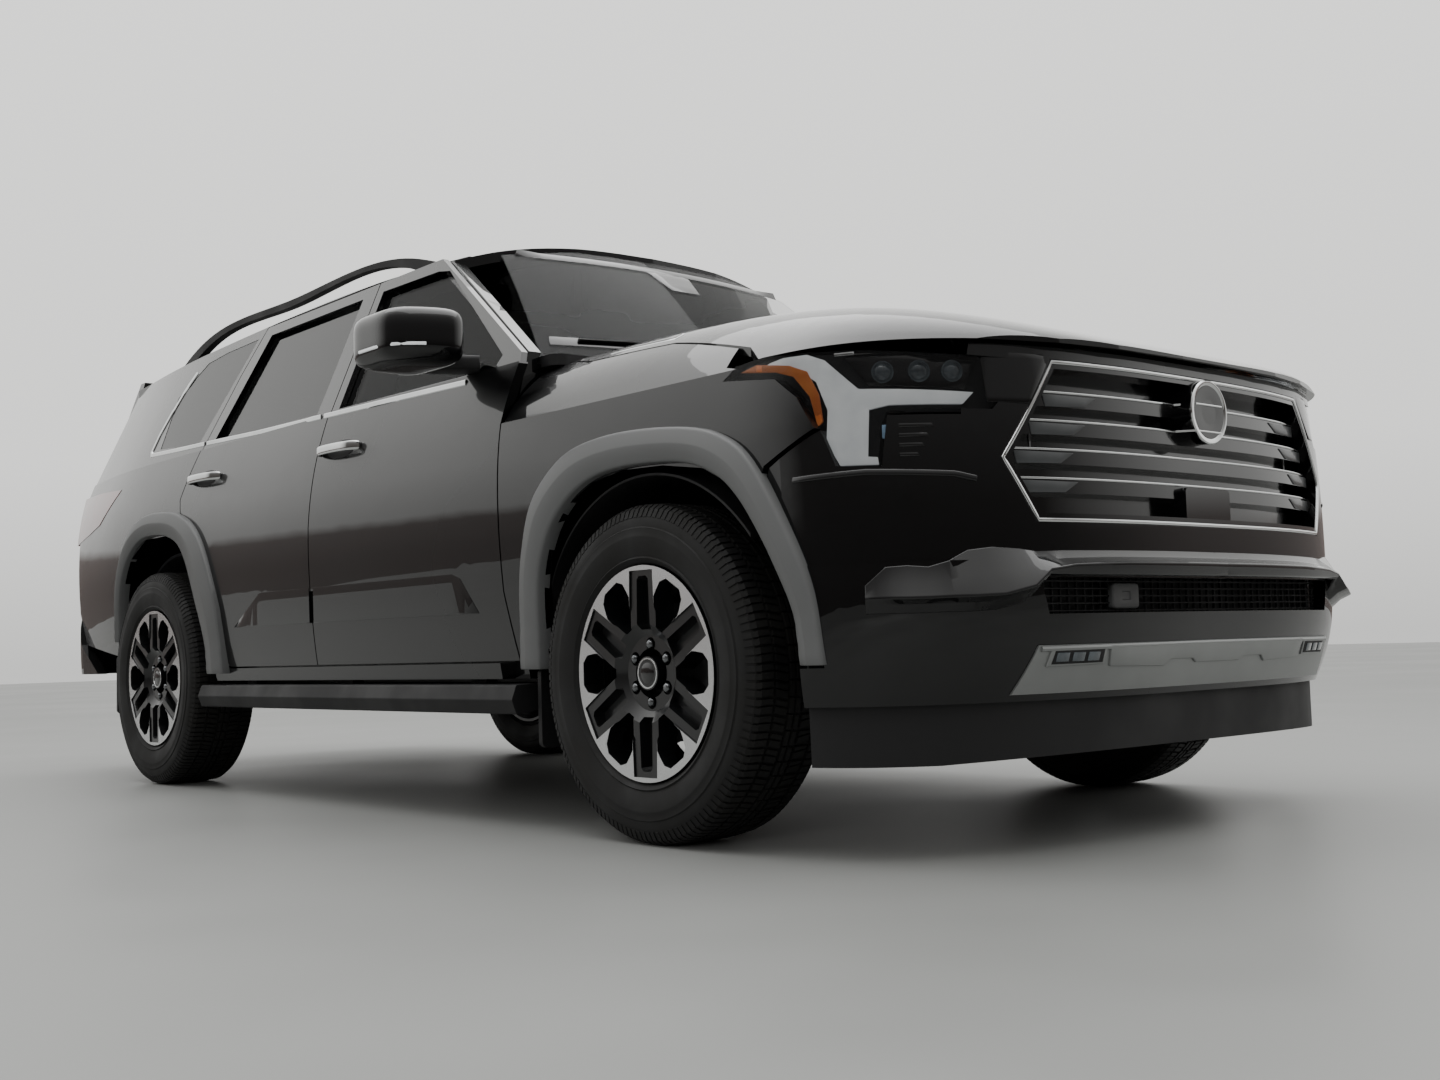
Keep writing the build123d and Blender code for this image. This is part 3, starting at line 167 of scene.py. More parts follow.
# Drawn stainless exhaust tube: a faint heat tint and long drawing marks.
exhaust_steel = finish("drawn_stainless_steel", ("#8d857b", "#a39c93"), (0.3, 0.45), 200.0, 3.0, 0.05,
                       metallic=1.0, stretch=(1, 0.1, 1))
# Needled carpet on the floor pan: dull and fibrous; its tufts are drawn coarser than real.
carpet = finish("needled_carpet", ("#17171a", "#222225"), (0.9, 1.0), 40.0, 2.0, 0.6)
# Slush-moulded dashboard skin: dark, with a soft leather-like grain.
dash_skin = finish("soft_moulded_pvc_skin", ("#161618", "#1d1d1f"), (0.5, 0.6), 250.0, 2.2, 0.12)
# White light guide of the daytime lamp: moulded polycarbonate, milky and just glowing.
lamp_white = finish("milky_polycarbonate", ("#d7dadb", "#eceeee"), (0.12, 0.2), 80.0, 12.0, 0.02,
                    coat=0.6, own={"Emission Color": linear("#e8eef2"), "Emission Strength": 0.25})
# Moulded acrylic of the turn lamp: clean amber gloss.
lamp_amber = finish("amber_acrylic", ("#c0672f", "#d07a3a"), (0.1, 0.18), 50.0, 6.0, 0.03, coat=0.6)
# Moulded acrylic of the tail lamps: deep red gloss, faintly rippled by the optics behind it.
lamp_red = finish("red_acrylic", ("#5a0508", "#7a0a0d"), (0.08, 0.14), 70.0, 5.0, 0.05, coat=0.8)
# Grained leather of the seats: soft sheen over fine creases; the grain is coarser than real.
leather = finish("grained_black_leather", ("#151514", "#201f1e"), (0.45, 0.6), 90.0, 3.0, 0.15)
# Extruded rubber of seals and wiper blades: dull black.
rubber = finish("extruded_black_rubber", ("#0c0c0c", "#151515"), (0.6, 0.75), 60.0, 2.0, 0.06)
# Plated nuts and posts: dark chrome, softer than the bright trim.
dark_chrome = finish("dark_plated_steel", ("#6f7173", "#808284"), (0.18, 0.28), 40.0, 4.0, 0.02,
                     metallic=1.0)
# Clear blue-tinted acrylic of the small side marker: a pale glint.
marker_blue = finish("pale_blue_acrylic", ("#8fb4d6", "#a8c6e0"), (0.1, 0.15), 30.0, 6.0, 0.02, coat=0.5)
# Moulded lens of a headlamp module: dark and very smooth, with a sharp highlight.
lamp_eye = finish("dark_moulded_lens", ("#3f464b", "#565e63"), (0.04, 0.08), 40.0, 8.0, 0.01, coat=1.0)
# Silvered mirror glass: a flat, clear reflection.
mirror_glass = finish("silvered_glass", ("#c9cdd0", "#d3d6d8"), (0.01, 0.03), 200.0, 60.0, 0.005,
                      metallic=1.0)
# Blank number plate: pressed aluminium with a soft white reflective film.
plate_white = finish("white_reflective_film", ("#cfd1d0", "#dadcdb"), (0.3, 0.4), 60.0, 2.0, 0.03,
                     coat=0.4)
# Vulcanised tyre rubber: dull black with a little brown dust; its fine moulded skin is drawn
# coarser than real.
tyre_black = finish("vulcanised_tyre_rubber", ("#0b0b0b", "#171614"), (0.62, 0.82), 140.0, 2.5, 0.15,
                    detail=(5.0, 3.0), strength=0.5, colours_from=(0.45, 0.75))
# Painted ABS of the blades' wide ends: satin dark grey.
grille_grey = finish("satin_grey_abs", ("#3c3e3f", "#454748"), (0.3, 0.4), 120.0, 3.0, 0.02, coat=0.3)


def glazing(name, tint, passes):
    """Tinted see-through sheet with a clean, faintly waved gloss; passes is the light let through."""
    made, tree, place = start(name)
    wave = put(tree, "ShaderNodeTexNoise", {"Vector": place, "Scale": per(320.0), "Detail": 1.0})
    bump = put(tree, "ShaderNodeBump", {"Height": wave.outputs["Fac"], "Strength": 0.3,
                                        "Distance": 0.4 * MM})
    shader = put(tree, "ShaderNodeBsdfPrincipled", {
        "Base Color": linear(tint), "Roughness": 0.01, "IOR": 1.52, "Alpha": 1.0 - passes,
        "Normal": bump.outputs[0]})
    put(tree, "ShaderNodeOutputMaterial", {"Surface": shader.outputs[0]})
    return made


# Laminated float glass: clear, a little green and dark, with the sky on it.
clear_glass = glazing("laminated_green_glass", "#0c100f", 0.84)
# Tempered glass dyed in the melt: nearly black, so the cabin behind only just shows.
privacy_glass = glazing("tempered_privacy_glass", "#060707", 0.16)
# Moulded clear polycarbonate: the lamp's cover, seen by its gloss.
lamp_lens = glazing("clear_polycarbonate_lens", "#0a0b0c", 0.75)


def alloy():
    """Cast aluminium wheel: satin black paint, with the outermost faces turned bright."""
    made, tree, place = start("painted_and_turned_aluminium")
    turned_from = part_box("front_wheel_left")[1][0] - 1.5 * MM
    split = put(tree, "ShaderNodeSeparateXYZ", {"Vector": place})
    out = put(tree, "ShaderNodeMath", {0: split.outputs["X"]}, operation="ABSOLUTE")
    bright = put(tree, "ShaderNodeMath", {0: out.outputs[0], 1: turned_from},
                 operation="GREATER_THAN").outputs[0]
    cloud = put(tree, "ShaderNodeTexNoise", {"Vector": place, "Scale": per(90.0), "Detail": 2.0})
    black = put(tree, "ShaderNodeMix", {"Factor": cloud.outputs["Fac"], 6: linear("#08090a"),
                                        7: linear("#0d0e0f")}, data_type="RGBA")
    colour = put(tree, "ShaderNodeMix", {"Factor": bright, 6: black.outputs[2],
                                         7: linear("#d9dadb")}, data_type="RGBA")
    polish = put(tree, "ShaderNodeMapRange", {"Value": bright, "To Min": 0.3, "To Max": 0.26})
    grain = put(tree, "ShaderNodeTexNoise", {"Vector": place, "Scale": per(2.0), "Detail": 2.0})
    bump = put(tree, "ShaderNodeBump", {"Height": grain.outputs["Fac"], "Strength": 0.3,
                                        "Distance": 0.03 * MM})
    shader = put(tree, "ShaderNodeBsdfPrincipled", {
        "Base Color": colour.outputs[2], "Metallic": bright, "Roughness": polish.outputs[0],
        "Coat Weight": 0.4, "Normal": bump.outputs[0]})
    put(tree, "ShaderNodeOutputMaterial", {"Surface": shader.outputs[0]})
    return made


wheel_alloy = alloy()

FINISH = {"body_paint": paint, "flare_paint": flare_grey, "trim_plastic": trim_black,
          "grille_black": piano_black, "skid_silver": silver, "clear_glass": clear_glass,
          "privacy_glass": privacy_glass, "lamp_lens": piano_black, "red_lens": lamp_red,
          "tyre_rubber": tyre_black, "wheel_alloy": wheel_alloy, "frame_steel": frame_black,
          "cast_metal": cast_grey, "exhaust_steel": exhaust_steel, "floor_metal": carpet,
          "seat_leather": leather, "dash_plastic": dash_skin}
for part in frame["record"]["subparts"]:
    node_materials = frame["nodes"][part["node"]].data.materials
    node_materials.clear()
    node_materials.append(FINISH[part["material_slot"]])
# Slot name for each material of the added pieces.
SLOT = {paint: "body_paint", chrome: "body_paint", piano_black: "grille_black",
        grille_grey: "grille_black", trim_black: "trim_plastic", rubber: "trim_plastic",
        plate_white: "trim_plastic", silver: "skid_silver", flare_grey: "flare_paint",
        lamp_lens: "lamp_lens", lamp_white: "lamp_lens", lamp_amber: "lamp_lens",
        marker_blue: "lamp_lens", lamp_eye: "lamp_lens", lamp_red: "red_lens",
        mirror_glass: "clear_glass", leather: "seat_leather", dash_skin: "dash_plastic",
        dark_chrome: "wheel_alloy", tyre_black: "tyre_rubber"}


# ------------------------------------------------------------------ charts on the skin
# A chart is a ray target and a function that gives a ray's start and direction from two numbers.
FAR, ASIDE = 4.0, 3.0                    # how far out rays start, in metres
CORNER_X, CORNER_Y = 0.45, 1.95          # middle of the charts round the corners


def skin(*names):
    """Ray target made of some CAD nodes."""
    joined = bmesh.new()
    for name in names:
        joined.from_mesh(frame["nodes"][name].data)
    made = BVHTree.FromBMesh(joined)
    joined.free()
    return made


def straight(axis, sign, far=FAR):
    """Rays along an axis from far out on its sign's side: the other two coordinates in mm."""
    def ray(first, second):
        origin, inwards = [first * MM, second * MM], Vector((0.0, 0.0, 0.0))
        origin.insert(axis, sign * far)
        inwards[axis] = -sign
        return Vector(origin), inwards
    return ray


def corner(side, end):
    """Rays round a corner of the nose (end -1) or the tail (end 1): degrees from straight, mm up."""
    def ray(degrees, up_mm):
        turn = math.radians(degrees)
        out = Vector((side * math.sin(turn), end * math.cos(turn), 0.0))
        return Vector((side * CORNER_X, end * CORNER_Y, up_mm * MM)) + ASIDE * out, -out
    return ray


ahead_on, behind_on, above_on = straight(1, -1), straight(1, 1), straight(2, 1)
FLANK = {side: straight(0, side, ASIDE) for side in (1, -1)}
INSIDE = {side: straight(0, -side, 0.0) for side in (1, -1)}
MISSES = (0, 6, -6, 12, -12, 20, -20, 40, -40, 70, -70, 110, -110)      # mm to the side, in turn


def land(chart, first, second, lift=0.0):
    """Point of a chart on the skin, lifted off it by some mm; a ray that misses tries beside it."""
    target, ray = chart
    origin, inwards = ray(first, second)
    for aside in MISSES:
        shift = origin + inwards.cross(Vector((0, 0, 1))) * aside * MM
        hit = target.ray_cast(shift, inwards)[0]
        if hit is not None:
            return origin + inwards * ((hit - shift).length - lift * MM)
    raise ValueError(f"no skin at {first} {second}")


def trace(chart, corners, lift=0.0, each=8):
    """Points along a chart's corners on the skin, each leg in equal parts."""
    points = []
    for (a, b), (c, d) in zip(corners, corners[1:]):
        points += [land(chart, a + (c - a) * k / each, b + (d - b) * k / each, lift)
                   for k in range(each)]
    return points + [land(chart, *corners[-1], lift)]


# ------------------------------------------------------------------ making meshes
def settle(made):
    """Turns an object's modifiers into its plain mesh."""
    bpy.context.view_layer.update()
    evaluated = made.evaluated_get(bpy.context.evaluated_depsgraph_get())
    plain = bpy.data.meshes.new_from_object(evaluated)
    made.modifiers.clear()
    made.data = plain


def piece(name, shape, material, body="body", slot=None, smooth_below=38.0, bevel=(), modifiers=()):
    """Object from a mesh: modifiers applied, edges sharpened, carried by a CAD body.

    bevel gives the values of round_edges, where it rounds the sharp edges.
    """
    modifiers = ((round_edges(*bevel),) if bevel else ()) + tuple(modifiers)
    mesh = bpy.data.meshes.new(name)
    shape.to_mesh(mesh)
    shape.free()
    made = show(name, mesh)
    for kind, values in modifiers:
        modifier = made.modifiers.new(kind.lower(), kind)
        for key, value in values.items():
            if key.startswith("Socket_"):
                modifier[key] = value
            else:
                setattr(modifier, key, value)
    if modifiers:
        settle(made)
    shape = bmesh.new()
    shape.from_mesh(made.data)
    for edge in shape.edges:
        edge.smooth = (len(edge.link_faces) == 2
                       and edge.calc_face_angle(0.0) < math.radians(smooth_below))
    for face in shape.faces:
        face.smooth = True
    shape.to_mesh(made.data)
    shape.free()
    made.data.materials.clear()
    made.data.materials.append(material)
    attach(made, body)
    return made


def round_edges(width_mm, segments=2, angle=32.0):
    """Bevel that rounds the sharp edges."""
    return ("BEVEL", {"width": width_mm * MM, "segments": segments, "limit_method": "ANGLE",
                      "angle_limit": math.radians(angle), "harden_normals": False})


def outward(shape):
    """Merges doubles and turns the faces of closed shapes outwards."""
    bmesh.ops.remove_doubles(shape, verts=shape.verts, dist=1e-6)
    bmesh.ops.recalc_face_normals(shape, faces=shape.faces)
    return shape


def thicken(shape, ways, thick_mm):
    """Gives a sheet its thickness: ways holds the direction in which each of its points is copied."""
    sheet = list(shape.verts)
    grown = bmesh.ops.extrude_face_region(shape, geom=shape.faces[:])["geom"]
    for vert in [g for g in grown if isinstance(g, bmesh.types.BMVert)]:
        near = min(range(len(sheet)), key=lambda i: (sheet[i].co - vert.co).length_squared)
        vert.co += ways[near] * thick_mm * MM
    return outward(shape)


def plate(name, outline, chart, material, lift=1.0, thick=4.0, steps=(3.0, 40.0), edge=1.0, **carried):
    """Plate that follows the skin inside an outline on a chart, which is cut in steps both ways."""
    shape = bmesh.new()
    shape.faces.new([shape.verts.new((a, b, 0.0)) for a, b in outline])
    for axis in (0, 1):
        low, high = min(p[axis] for p in outline), max(p[axis] for p in outline)
        for k in range(1, int((high - low) / steps[axis]) + 1):
            cut, way = [0.0, 0.0, 0.0], [0.0, 0.0, 0.0]
            cut[axis], way[axis] = low + k * steps[axis], 1.0
            bmesh.ops.bisect_plane(shape, geom=shape.verts[:] + shape.edges[:] + shape.faces[:],
                                   plane_co=cut, plane_no=way)
    bmesh.ops.triangulate(shape, faces=[f for f in shape.faces if len(f.verts) > 4])
    ways = [chart[1](v.co.x, v.co.y)[1] for v in shape.verts]
    for vert in shape.verts:
        vert.co = land(chart, vert.co.x, vert.co.y, lift)
    return piece(name, thicken(shape, ways, thick), material, bevel=(edge,), **carried)


def grid(rows, shape=None):
    """Quads between closed rows of points."""
    shape = shape or bmesh.new()
    made = [[shape.verts.new(point) for point in row] for row in rows]
    for one, two in zip(made, made[1:]):
        for k in range(len(one)):
            shape.faces.new((one[k - 1], one[k], two[k], two[k - 1]))
    return shape, made


def loft(rows, shape=None):
    """Solid through closed rows of points, with a face on its first and last."""
    shape, made = grid(rows, shape)
    shape.faces.new(made[0])
    shape.faces.new(made[-1])
    return outward(shape)


def sweep(points, profile, out, loop=False):
    """Closed bar along points: profile gives (mm out, mm sideways), out the way that faces out."""
    rows = []
    count = len(points)
    for k, point in enumerate(points):
        before = points[k - 1] if k or loop else points[0]
        after = points[(k + 1) % count] if k < count - 1 or loop else points[-1]
        along = (after - before).normalized()
        face_out = out(point) if callable(out) else Vector(out)
        face_out = (face_out - along * face_out.dot(along)).normalized()
        sideways = along.cross(face_out)
        rows.append([point + (face_out * a + sideways * b) * MM for a, b in profile])
    return outward(grid(rows + rows[:1])[0]) if loop else loft(rows)


def about_x(out_mm, radius, angle):
    """Point in metres at a radius and an angle round the X axis."""
    return Vector((out_mm, radius * math.sin(angle), radius * math.cos(angle))) * MM


def turned(profile, centre, parts, out=None):
    """Ring of (mm out, mm radius) turned about the X axis, aimed out and moved to a centre."""
    aim = Vector((1, 0, 0)).rotation_difference(out).to_matrix() if out else Matrix.Identity(3)
    rows = [[centre + aim @ about_x(a, r, 2 * math.pi * k / parts) for a, r in profile]
            for k in range(parts)]
    return outward(grid(rows + rows[:1])[0])


def rounded(width, height, radius, parts=3):
    """Corners of a rounded rectangle, in mm, round its middle."""
    corners = []
    for k, (sx, sy) in enumerate(((1, 1), (-1, 1), (-1, -1), (1, -1))):
        for j in range(parts + 1):
            angle = math.pi / 2 * (k + j / parts)
            corners.append((sx * (width / 2 - radius) + radius * math.cos(angle),
                            sy * (height / 2 - radius) + radius * math.sin(angle)))
    return corners


def squared(point, power=7.0):
    """Point of a cube moved to a box whose corners are the rounder, the lower the power."""
    return Vector(point) / sum(abs(c) ** power for c in point) ** (1 / power)


def block(low, high):
    """Six-sided block between two corners in metres."""
    shape = bmesh.new()
    middle, size = (Vector(low) + Vector(high)) / 2, Vector(high) - Vector(low)
    for vert in bmesh.ops.create_cube(shape, size=1.0)["verts"]:
        vert.co = middle + vert.co * size
    return shape


# Geometry Nodes tree that repeats a piece: copy k is moved k steps and turned k turns, then all
# copies are moved to their place.
repeat = bpy.data.node_groups.new("repeat_piece", "GeometryNodeTree")
for name, kind in (("Geometry", "Geometry"), ("Count", "Int"), ("Step", "Vector"), ("Turn", "Vector"),
                   ("Place", "Vector"), ("Material", "Material")):
    repeat.interface.new_socket(name=name, in_out="INPUT", socket_type="NodeSocket" + kind)
repeat.interface.new_socket(name="Geometry", in_out="OUTPUT", socket_type="NodeSocketGeometry")
given = put(repeat, "NodeGroupInput").outputs
line = put(repeat, "GeometryNodeMeshLine", {"Count": given["Count"], "Offset": given["Step"]})
index = put(repeat, "GeometryNodeInputIndex").outputs[0]
turn = put(repeat, "ShaderNodeVectorMath", {0: given["Turn"], "Scale": index}, operation="SCALE")
copies = put(repeat, "GeometryNodeInstanceOnPoints", {
    "Points": line.outputs[0], "Instance": given["Geometry"], "Rotation": turn.outputs[0]})
solid = put(repeat, "GeometryNodeRealizeInstances", {"Geometry": copies.outputs[0]})
moved = put(repeat, "GeometryNodeTransform", {"Geometry": solid.outputs[0],
                                              "Translation": given["Place"]})
coated = put(repeat, "GeometryNodeSetMaterial", {"Geometry": moved.outputs[0],
                                                 "Material": given["Material"]})
put(repeat, "NodeGroupOutput", {0: coated.outputs[0]})


def repeated(name, shape, count, material, step=(0, 0, 0), turn_by=(0, 0, 0), place=(0, 0, 0),
             edge=0.0, **carried):
    """Piece repeated by the Geometry Nodes tree and made a plain mesh."""
    wanted = {"Count": count, "Step": step, "Turn": turn_by, "Place": place, "Material": material}
    inputs = {socket.identifier: wanted[socket.name] for socket in repeat.interface.items_tree
              if socket.in_out == "INPUT" and socket.name in wanted}
    piece(name, shape, material, bevel=(edge, 1) if edge else (),
          modifiers=(("NODES", {"node_group": repeat, **inputs}),), **carried)


# ------------------------------------------------------------------ wheels and tyres
tyre_low, tyre_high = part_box("front_tyre_left")
tread_r = (tyre_high[2] - tyre_low[2]) / 2 / MM
half_tyre = (tyre_high[0] - tyre_low[0]) / 2 / MM
GROOVE = 8.5
base_r = tread_r - GROOVE
# Moulded section, outside first: bead, rim guard, bulge, shoulder, then the inner liner.
outer_wall = [(-98, 262.6), (-112, 266), (-121, 276), (-124, 279), (-121, 283), (-128, 305),
              (1 - half_tyre, 330), (1 - half_tyre, 334), (-half_tyre + 2, 337), (-half_tyre + 2, 352),
              (-half_tyre + 5, 355), (-127, 370), (-121, 384), (-113, base_r - 4), (-98, base_r),
              (-40, base_r + 1)]
section = outer_wall + [(-a, r) for a, r in reversed(outer_wall)]
section += [(92, 276), (104, 300), (112, 335), (104, 372), (70, 390), (-70, 390), (-104, 372),
            (-112, 335), (-104, 300), (-92, 276)]
PITCHES = 66
pitch = 2 * math.pi * tread_r / PITCHES
# Tread blocks of one pitch, in mm across and along: two centre ribs, slanted blocks, shoulder lugs.
BLOCKS = [[(-17, 1.5), (-3, 1.5), (-3, pitch - 1.5), (-17, pitch - 1.5)],
          [(3, pitch / 2 - 17), (17, pitch / 2 - 19), (17, pitch / 2 + 15), (3, pitch / 2 + 17)],
          [(25, 3), (62, 10), (62, 27), (25, 20)], [(25, 23), (62, 30), (62, 37), (25, 36)],
          [(-62, 3), (-25, -4), (-25, 13), (-62, 20)], [(-62, 23), (-25, 16), (-25, 29), (-62, 36)],
          [(70, 2), (104, 0), (104, 17), (70, 18)], [(70, 21), (104, 20), (104, 36), (70, 37)],
          [(-104, 2), (-70, 4), (-70, 21), (-104, 19)], [(-104, 22), (-70, 24), (-70, 38), (-104, 37)]]
# Small turned parts of a wheel: piece, profile, material, slot, parts round, mm forward of the hub.
HUB_PARTS = (
    ("cap_ring_", ((102, 33), (105.5, 34), (105.5, 37.5), (102, 38.5)), chrome, "wheel_alloy", 48, 0),
    ("cap_dome_", ((103, 0.2), (106.5, 0.2), (106.2, 12), (105, 24), (103, 31), (102, 31)),
     piano_black, "wheel_alloy", 48, 0),
    ("valve_stem_", ((60, 0.2), (60, 5.5), (84, 5), (86, 4), (98, 4), (99, 3), (99, 0.2)),
     rubber, "tyre_rubber", 12, 226))


def one_pitch():
    """Blocks and shoulder lugs of one tread pitch, round the X axis."""
    shape = bmesh.new()
    for corners in BLOCKS:
        middle = [sum(p[i] for p in corners) / 4 for i in (0, 1)]
        rings = []
        for radius, draft in ((base_r - 1, 0.0), (tread_r, 0.8)):
            ring = []
            for across, along in corners:
                drop = 3.5 if abs(across) > 100 else 0.0
                ring.append(about_x(across - math.copysign(draft, across - middle[0]), radius - drop,
                                    (along - math.copysign(draft, along - middle[1])) / tread_r))
            rings.append(ring)
        loft(rings, shape)
    for side in (-1, 1):
        for first, last in ((2.0, 16.0), (21.0, 35.0)):
            loft([[about_x(side * (across + lift * shift), radius + lift * sink, along / tread_r)
                   for along, lift in ((first, 0), (last, 0), (last, -9), (first, -9))]
                  for across, radius, shift, sink in ((103, tread_r - 4, 0.1, 0.9),
                                                      (116, tread_r - 13, 0.6, 0.35),
                                                      (125, tread_r - 34, 0.6, 0.35))], shape)
    return shape


NUTS, NUT_FLATS, NUT_CIRCLE = 6, 21.0, 70.0       # number, mm across flats, mm from the hub's middle


def nut(side):
    """Wheel nut above the hub, a hexagon with a domed outer end."""
    radius = NUT_FLATS / 2 / math.cos(math.pi / 6)
    return loft([[about_x(side * out, radius * share, math.pi / 3 * k) + Vector((0, 0, NUT_CIRCLE * MM))
                  for k in range(6)]
                 for out, share in ((78.0, 1), (96.0, 1), (99.5, 0.82), (101.0, 0.45))])


for end in ("front", "rear"):
    for side_name, side in SIDES:
        low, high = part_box(f"{end}_tyre_{side_name}")
        hub = (Vector(low) + Vector(high)) / 2
        body = f"{end}_wheel_{side_name}"
        name = f"{end}_{side_name}"
        tyre = piece("tyre_carcass_" + name, turned(section, hub, 120), tyre_black, body,
                     smooth_below=28.0)
        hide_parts(f"{end}_tyre_{side_name}")
        repeated("tyre_tread_" + name, one_pitch(), PITCHES, tyre_black, body=body, place=hub,
                 turn_by=(2 * math.pi / PITCHES, 0, 0), smooth_below=20.0)
        repeated("wheel_nuts_" + name, nut(side), NUTS, dark_chrome, body=body, place=hub,
                 turn_by=(2 * math.pi / NUTS, 0, 0), edge=0.8)
        for part, profile, material, slot, parts, forward_mm in HUB_PARTS:
            shape = turned([(side * a, r) for a, r in profile], hub + FORWARD * forward_mm * MM, parts)
            piece(part + name, shape, material, body, slot)

# ------------------------------------------------------------------ grille
grille_low, grille_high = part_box("front_grille")
low_mm, high_mm = grille_low[2] / MM, grille_high[2] / MM
on_grille = (skin("front_grille"), ahead_on)
FRAME_MM, BLADES = 42.0, 4            # width of the CAD grille's frame, and blades inside it
row_pitch = (high_mm - low_mm - FRAME_MM) / (BLADES + 1)
WAIST_MM, HALF_WAIST, HALF_FOOT, HALF_TOP = 862.0, 680.0, 600.0, 525.0
OUTLINE_IN, OUTLINE_ASIDE = 6, 9      # the bright outline's place inside the frame's edges


def grille_half(up_mm):
    """Half the width of the grille's opening at a height."""
    end, far = (HALF_TOP, high_mm) if up_mm > WAIST_MM else (HALF_FOOT, low_mm)
    return HALF_WAIST + (end - HALF_WAIST) * (up_mm - WAIST_MM) / (far - WAIST_MM)


outline_top, outline_foot = high_mm - OUTLINE_IN, low_mm + OUTLINE_IN
outline_mm = [(0, outline_top)] + [(grille_half(up_mm) - OUTLINE_ASIDE, up_mm)
                                   for up_mm in (outline_top, WAIST_MM, outline_foot)]
outline_mm += [(0, outline_foot)] + [(-a, z) for a, z in reversed(outline_mm[1:])] + outline_mm[:1]
ring_path = trace(on_grille, outline_mm, each=14)[:-1]
piece("grille_outline", sweep(ring_path, rounded(7.0, 9.0, 2.4, 2), FORWARD, loop=True), chrome,
      slot="grille_black")
for row in range(1, BLADES + 1):
    top_mm = low_mm + FRAME_MM / 2 + row * row_pitch + 15
    half = grille_half(top_mm) - FRAME_MM / 2 - 16
    path = [point for point in trace(on_grille, [(-half, top_mm), (0, top_mm), (half, top_mm)], 0.5, 20)
            if point.y < grille_low[1] + 0.25]
    piece(f"blade_edge_{row}", sweep(path, rounded(5.0, 5.0, 1.6, 2), FORWARD), chrome,
          slot="grille_black")
    for side_name, side in SIDES:
        plate(f"blade_end_{row}_{side_name}",
              [(side * a, top_mm - b) for a, b in ((half - 165, 7), (half - 2, 5), (half - 8, 33),
                                                   (half - 125, 31))],
              on_grille, grille_grey, lift=2.5, steps=(40, 60))
EMBLEM_UP = 0.998
for name, profile, material in (
        ("emblem_ring", ((-4, 66), (0, 64), (3, 68), (3, 75), (0, 77.5), (-4, 77.5)), chrome),
        ("emblem_dish", ((-3, 0.3), (-1.5, 0.3), (0.5, 40), (1, 64), (-3, 64)), piano_black)):
    piece(name, turned(profile, Vector((0, grille_low[1], EMBLEM_UP)), 64, FORWARD), material,
          slot="grille_black")
RIBS, RIB_STEP, RIB_BEHIND, RIB_SHORT = 33, 0.034, 0.115, 0.035      # upright ribs, in metres
rib = block((-0.0035, 0, grille_low[2] + RIB_SHORT), (0.0035, 0.02, grille_high[2] - RIB_SHORT))
repeated("grille_ribs", rib, RIBS, piano_black, step=(RIB_STEP, 0, 0), edge=1.0,
         place=(-RIB_STEP * (RIBS - 1) / 2, grille_low[1] + RIB_BEHIND, 0))

# ------------------------------------------------------------------ wheel arch flares
# Outer and inner edge of each flare in mm behind the axle and mm up, front flare first.
FLARES = {
    "front": ([(-592, 426), (-572, 590), (-506, 744), (-412, 885), (-320, 948), (-205, 980), (-31, 997),
               (131, 997), (268, 976), (368, 925), (440, 855), (482, 760), (512, 640), (535, 426)],
              [(-532, 426), (-524, 540), (-485, 640), (-436, 730), (-380, 806), (-310, 862),
               (-215, 898), (-98, 913), (59, 916), (184, 898), (290, 848), (372, 765), (424, 640),
               (446, 426)]),
    "rear": ([(-620, 426), (-604, 640), (-552, 787), (-480, 905), (-380, 985), (-244, 1033),
              (-110, 1048), (30, 1049), (166, 1022), (276, 957), (348, 850), (388, 720), (402, 560)],
             [(-500, 426), (-494, 560), (-440, 705), (-375, 832), (-290, 915), (-170, 955), (-30, 968),
              (90, 960), (200, 915), (292, 830), (345, 715), (372, 560)])}


def smooth_line(points, parts):
    """Even points on the smooth curve through some 2D points."""
    padded = [points[0]] + list(points) + [points[-1]]
    fine = []
    for p, q, r, t in zip(padded, padded[1:], padded[2:], padded[3:]):
        for u in [k / 12 for k in range(12)]:
            fine.append([0.5 * (2 * q[i] + (r[i] - p[i]) * u
                                + (2 * p[i] - 5 * q[i] + 4 * r[i] - t[i]) * u * u
                                + (3 * q[i] - p[i] - 3 * r[i] + t[i]) * u ** 3) for i in (0, 1)])
    fine.append(list(points[-1]))
    run = [0.0]
    for a, b in zip(fine, fine[1:]):
        run.append(run[-1] + math.dist(a, b))
    even, k = [], 0
    for j in range(parts + 1):
        wanted = run[-1] * j / parts
        while k < len(fine) - 2 and run[k + 1] < wanted:
            k += 1
        share = (wanted - run[k]) / (run[k + 1] - run[k])
        even.append([fine[k][i] + (fine[k + 1][i] - fine[k][i]) * share for i in (0, 1)])
    return even


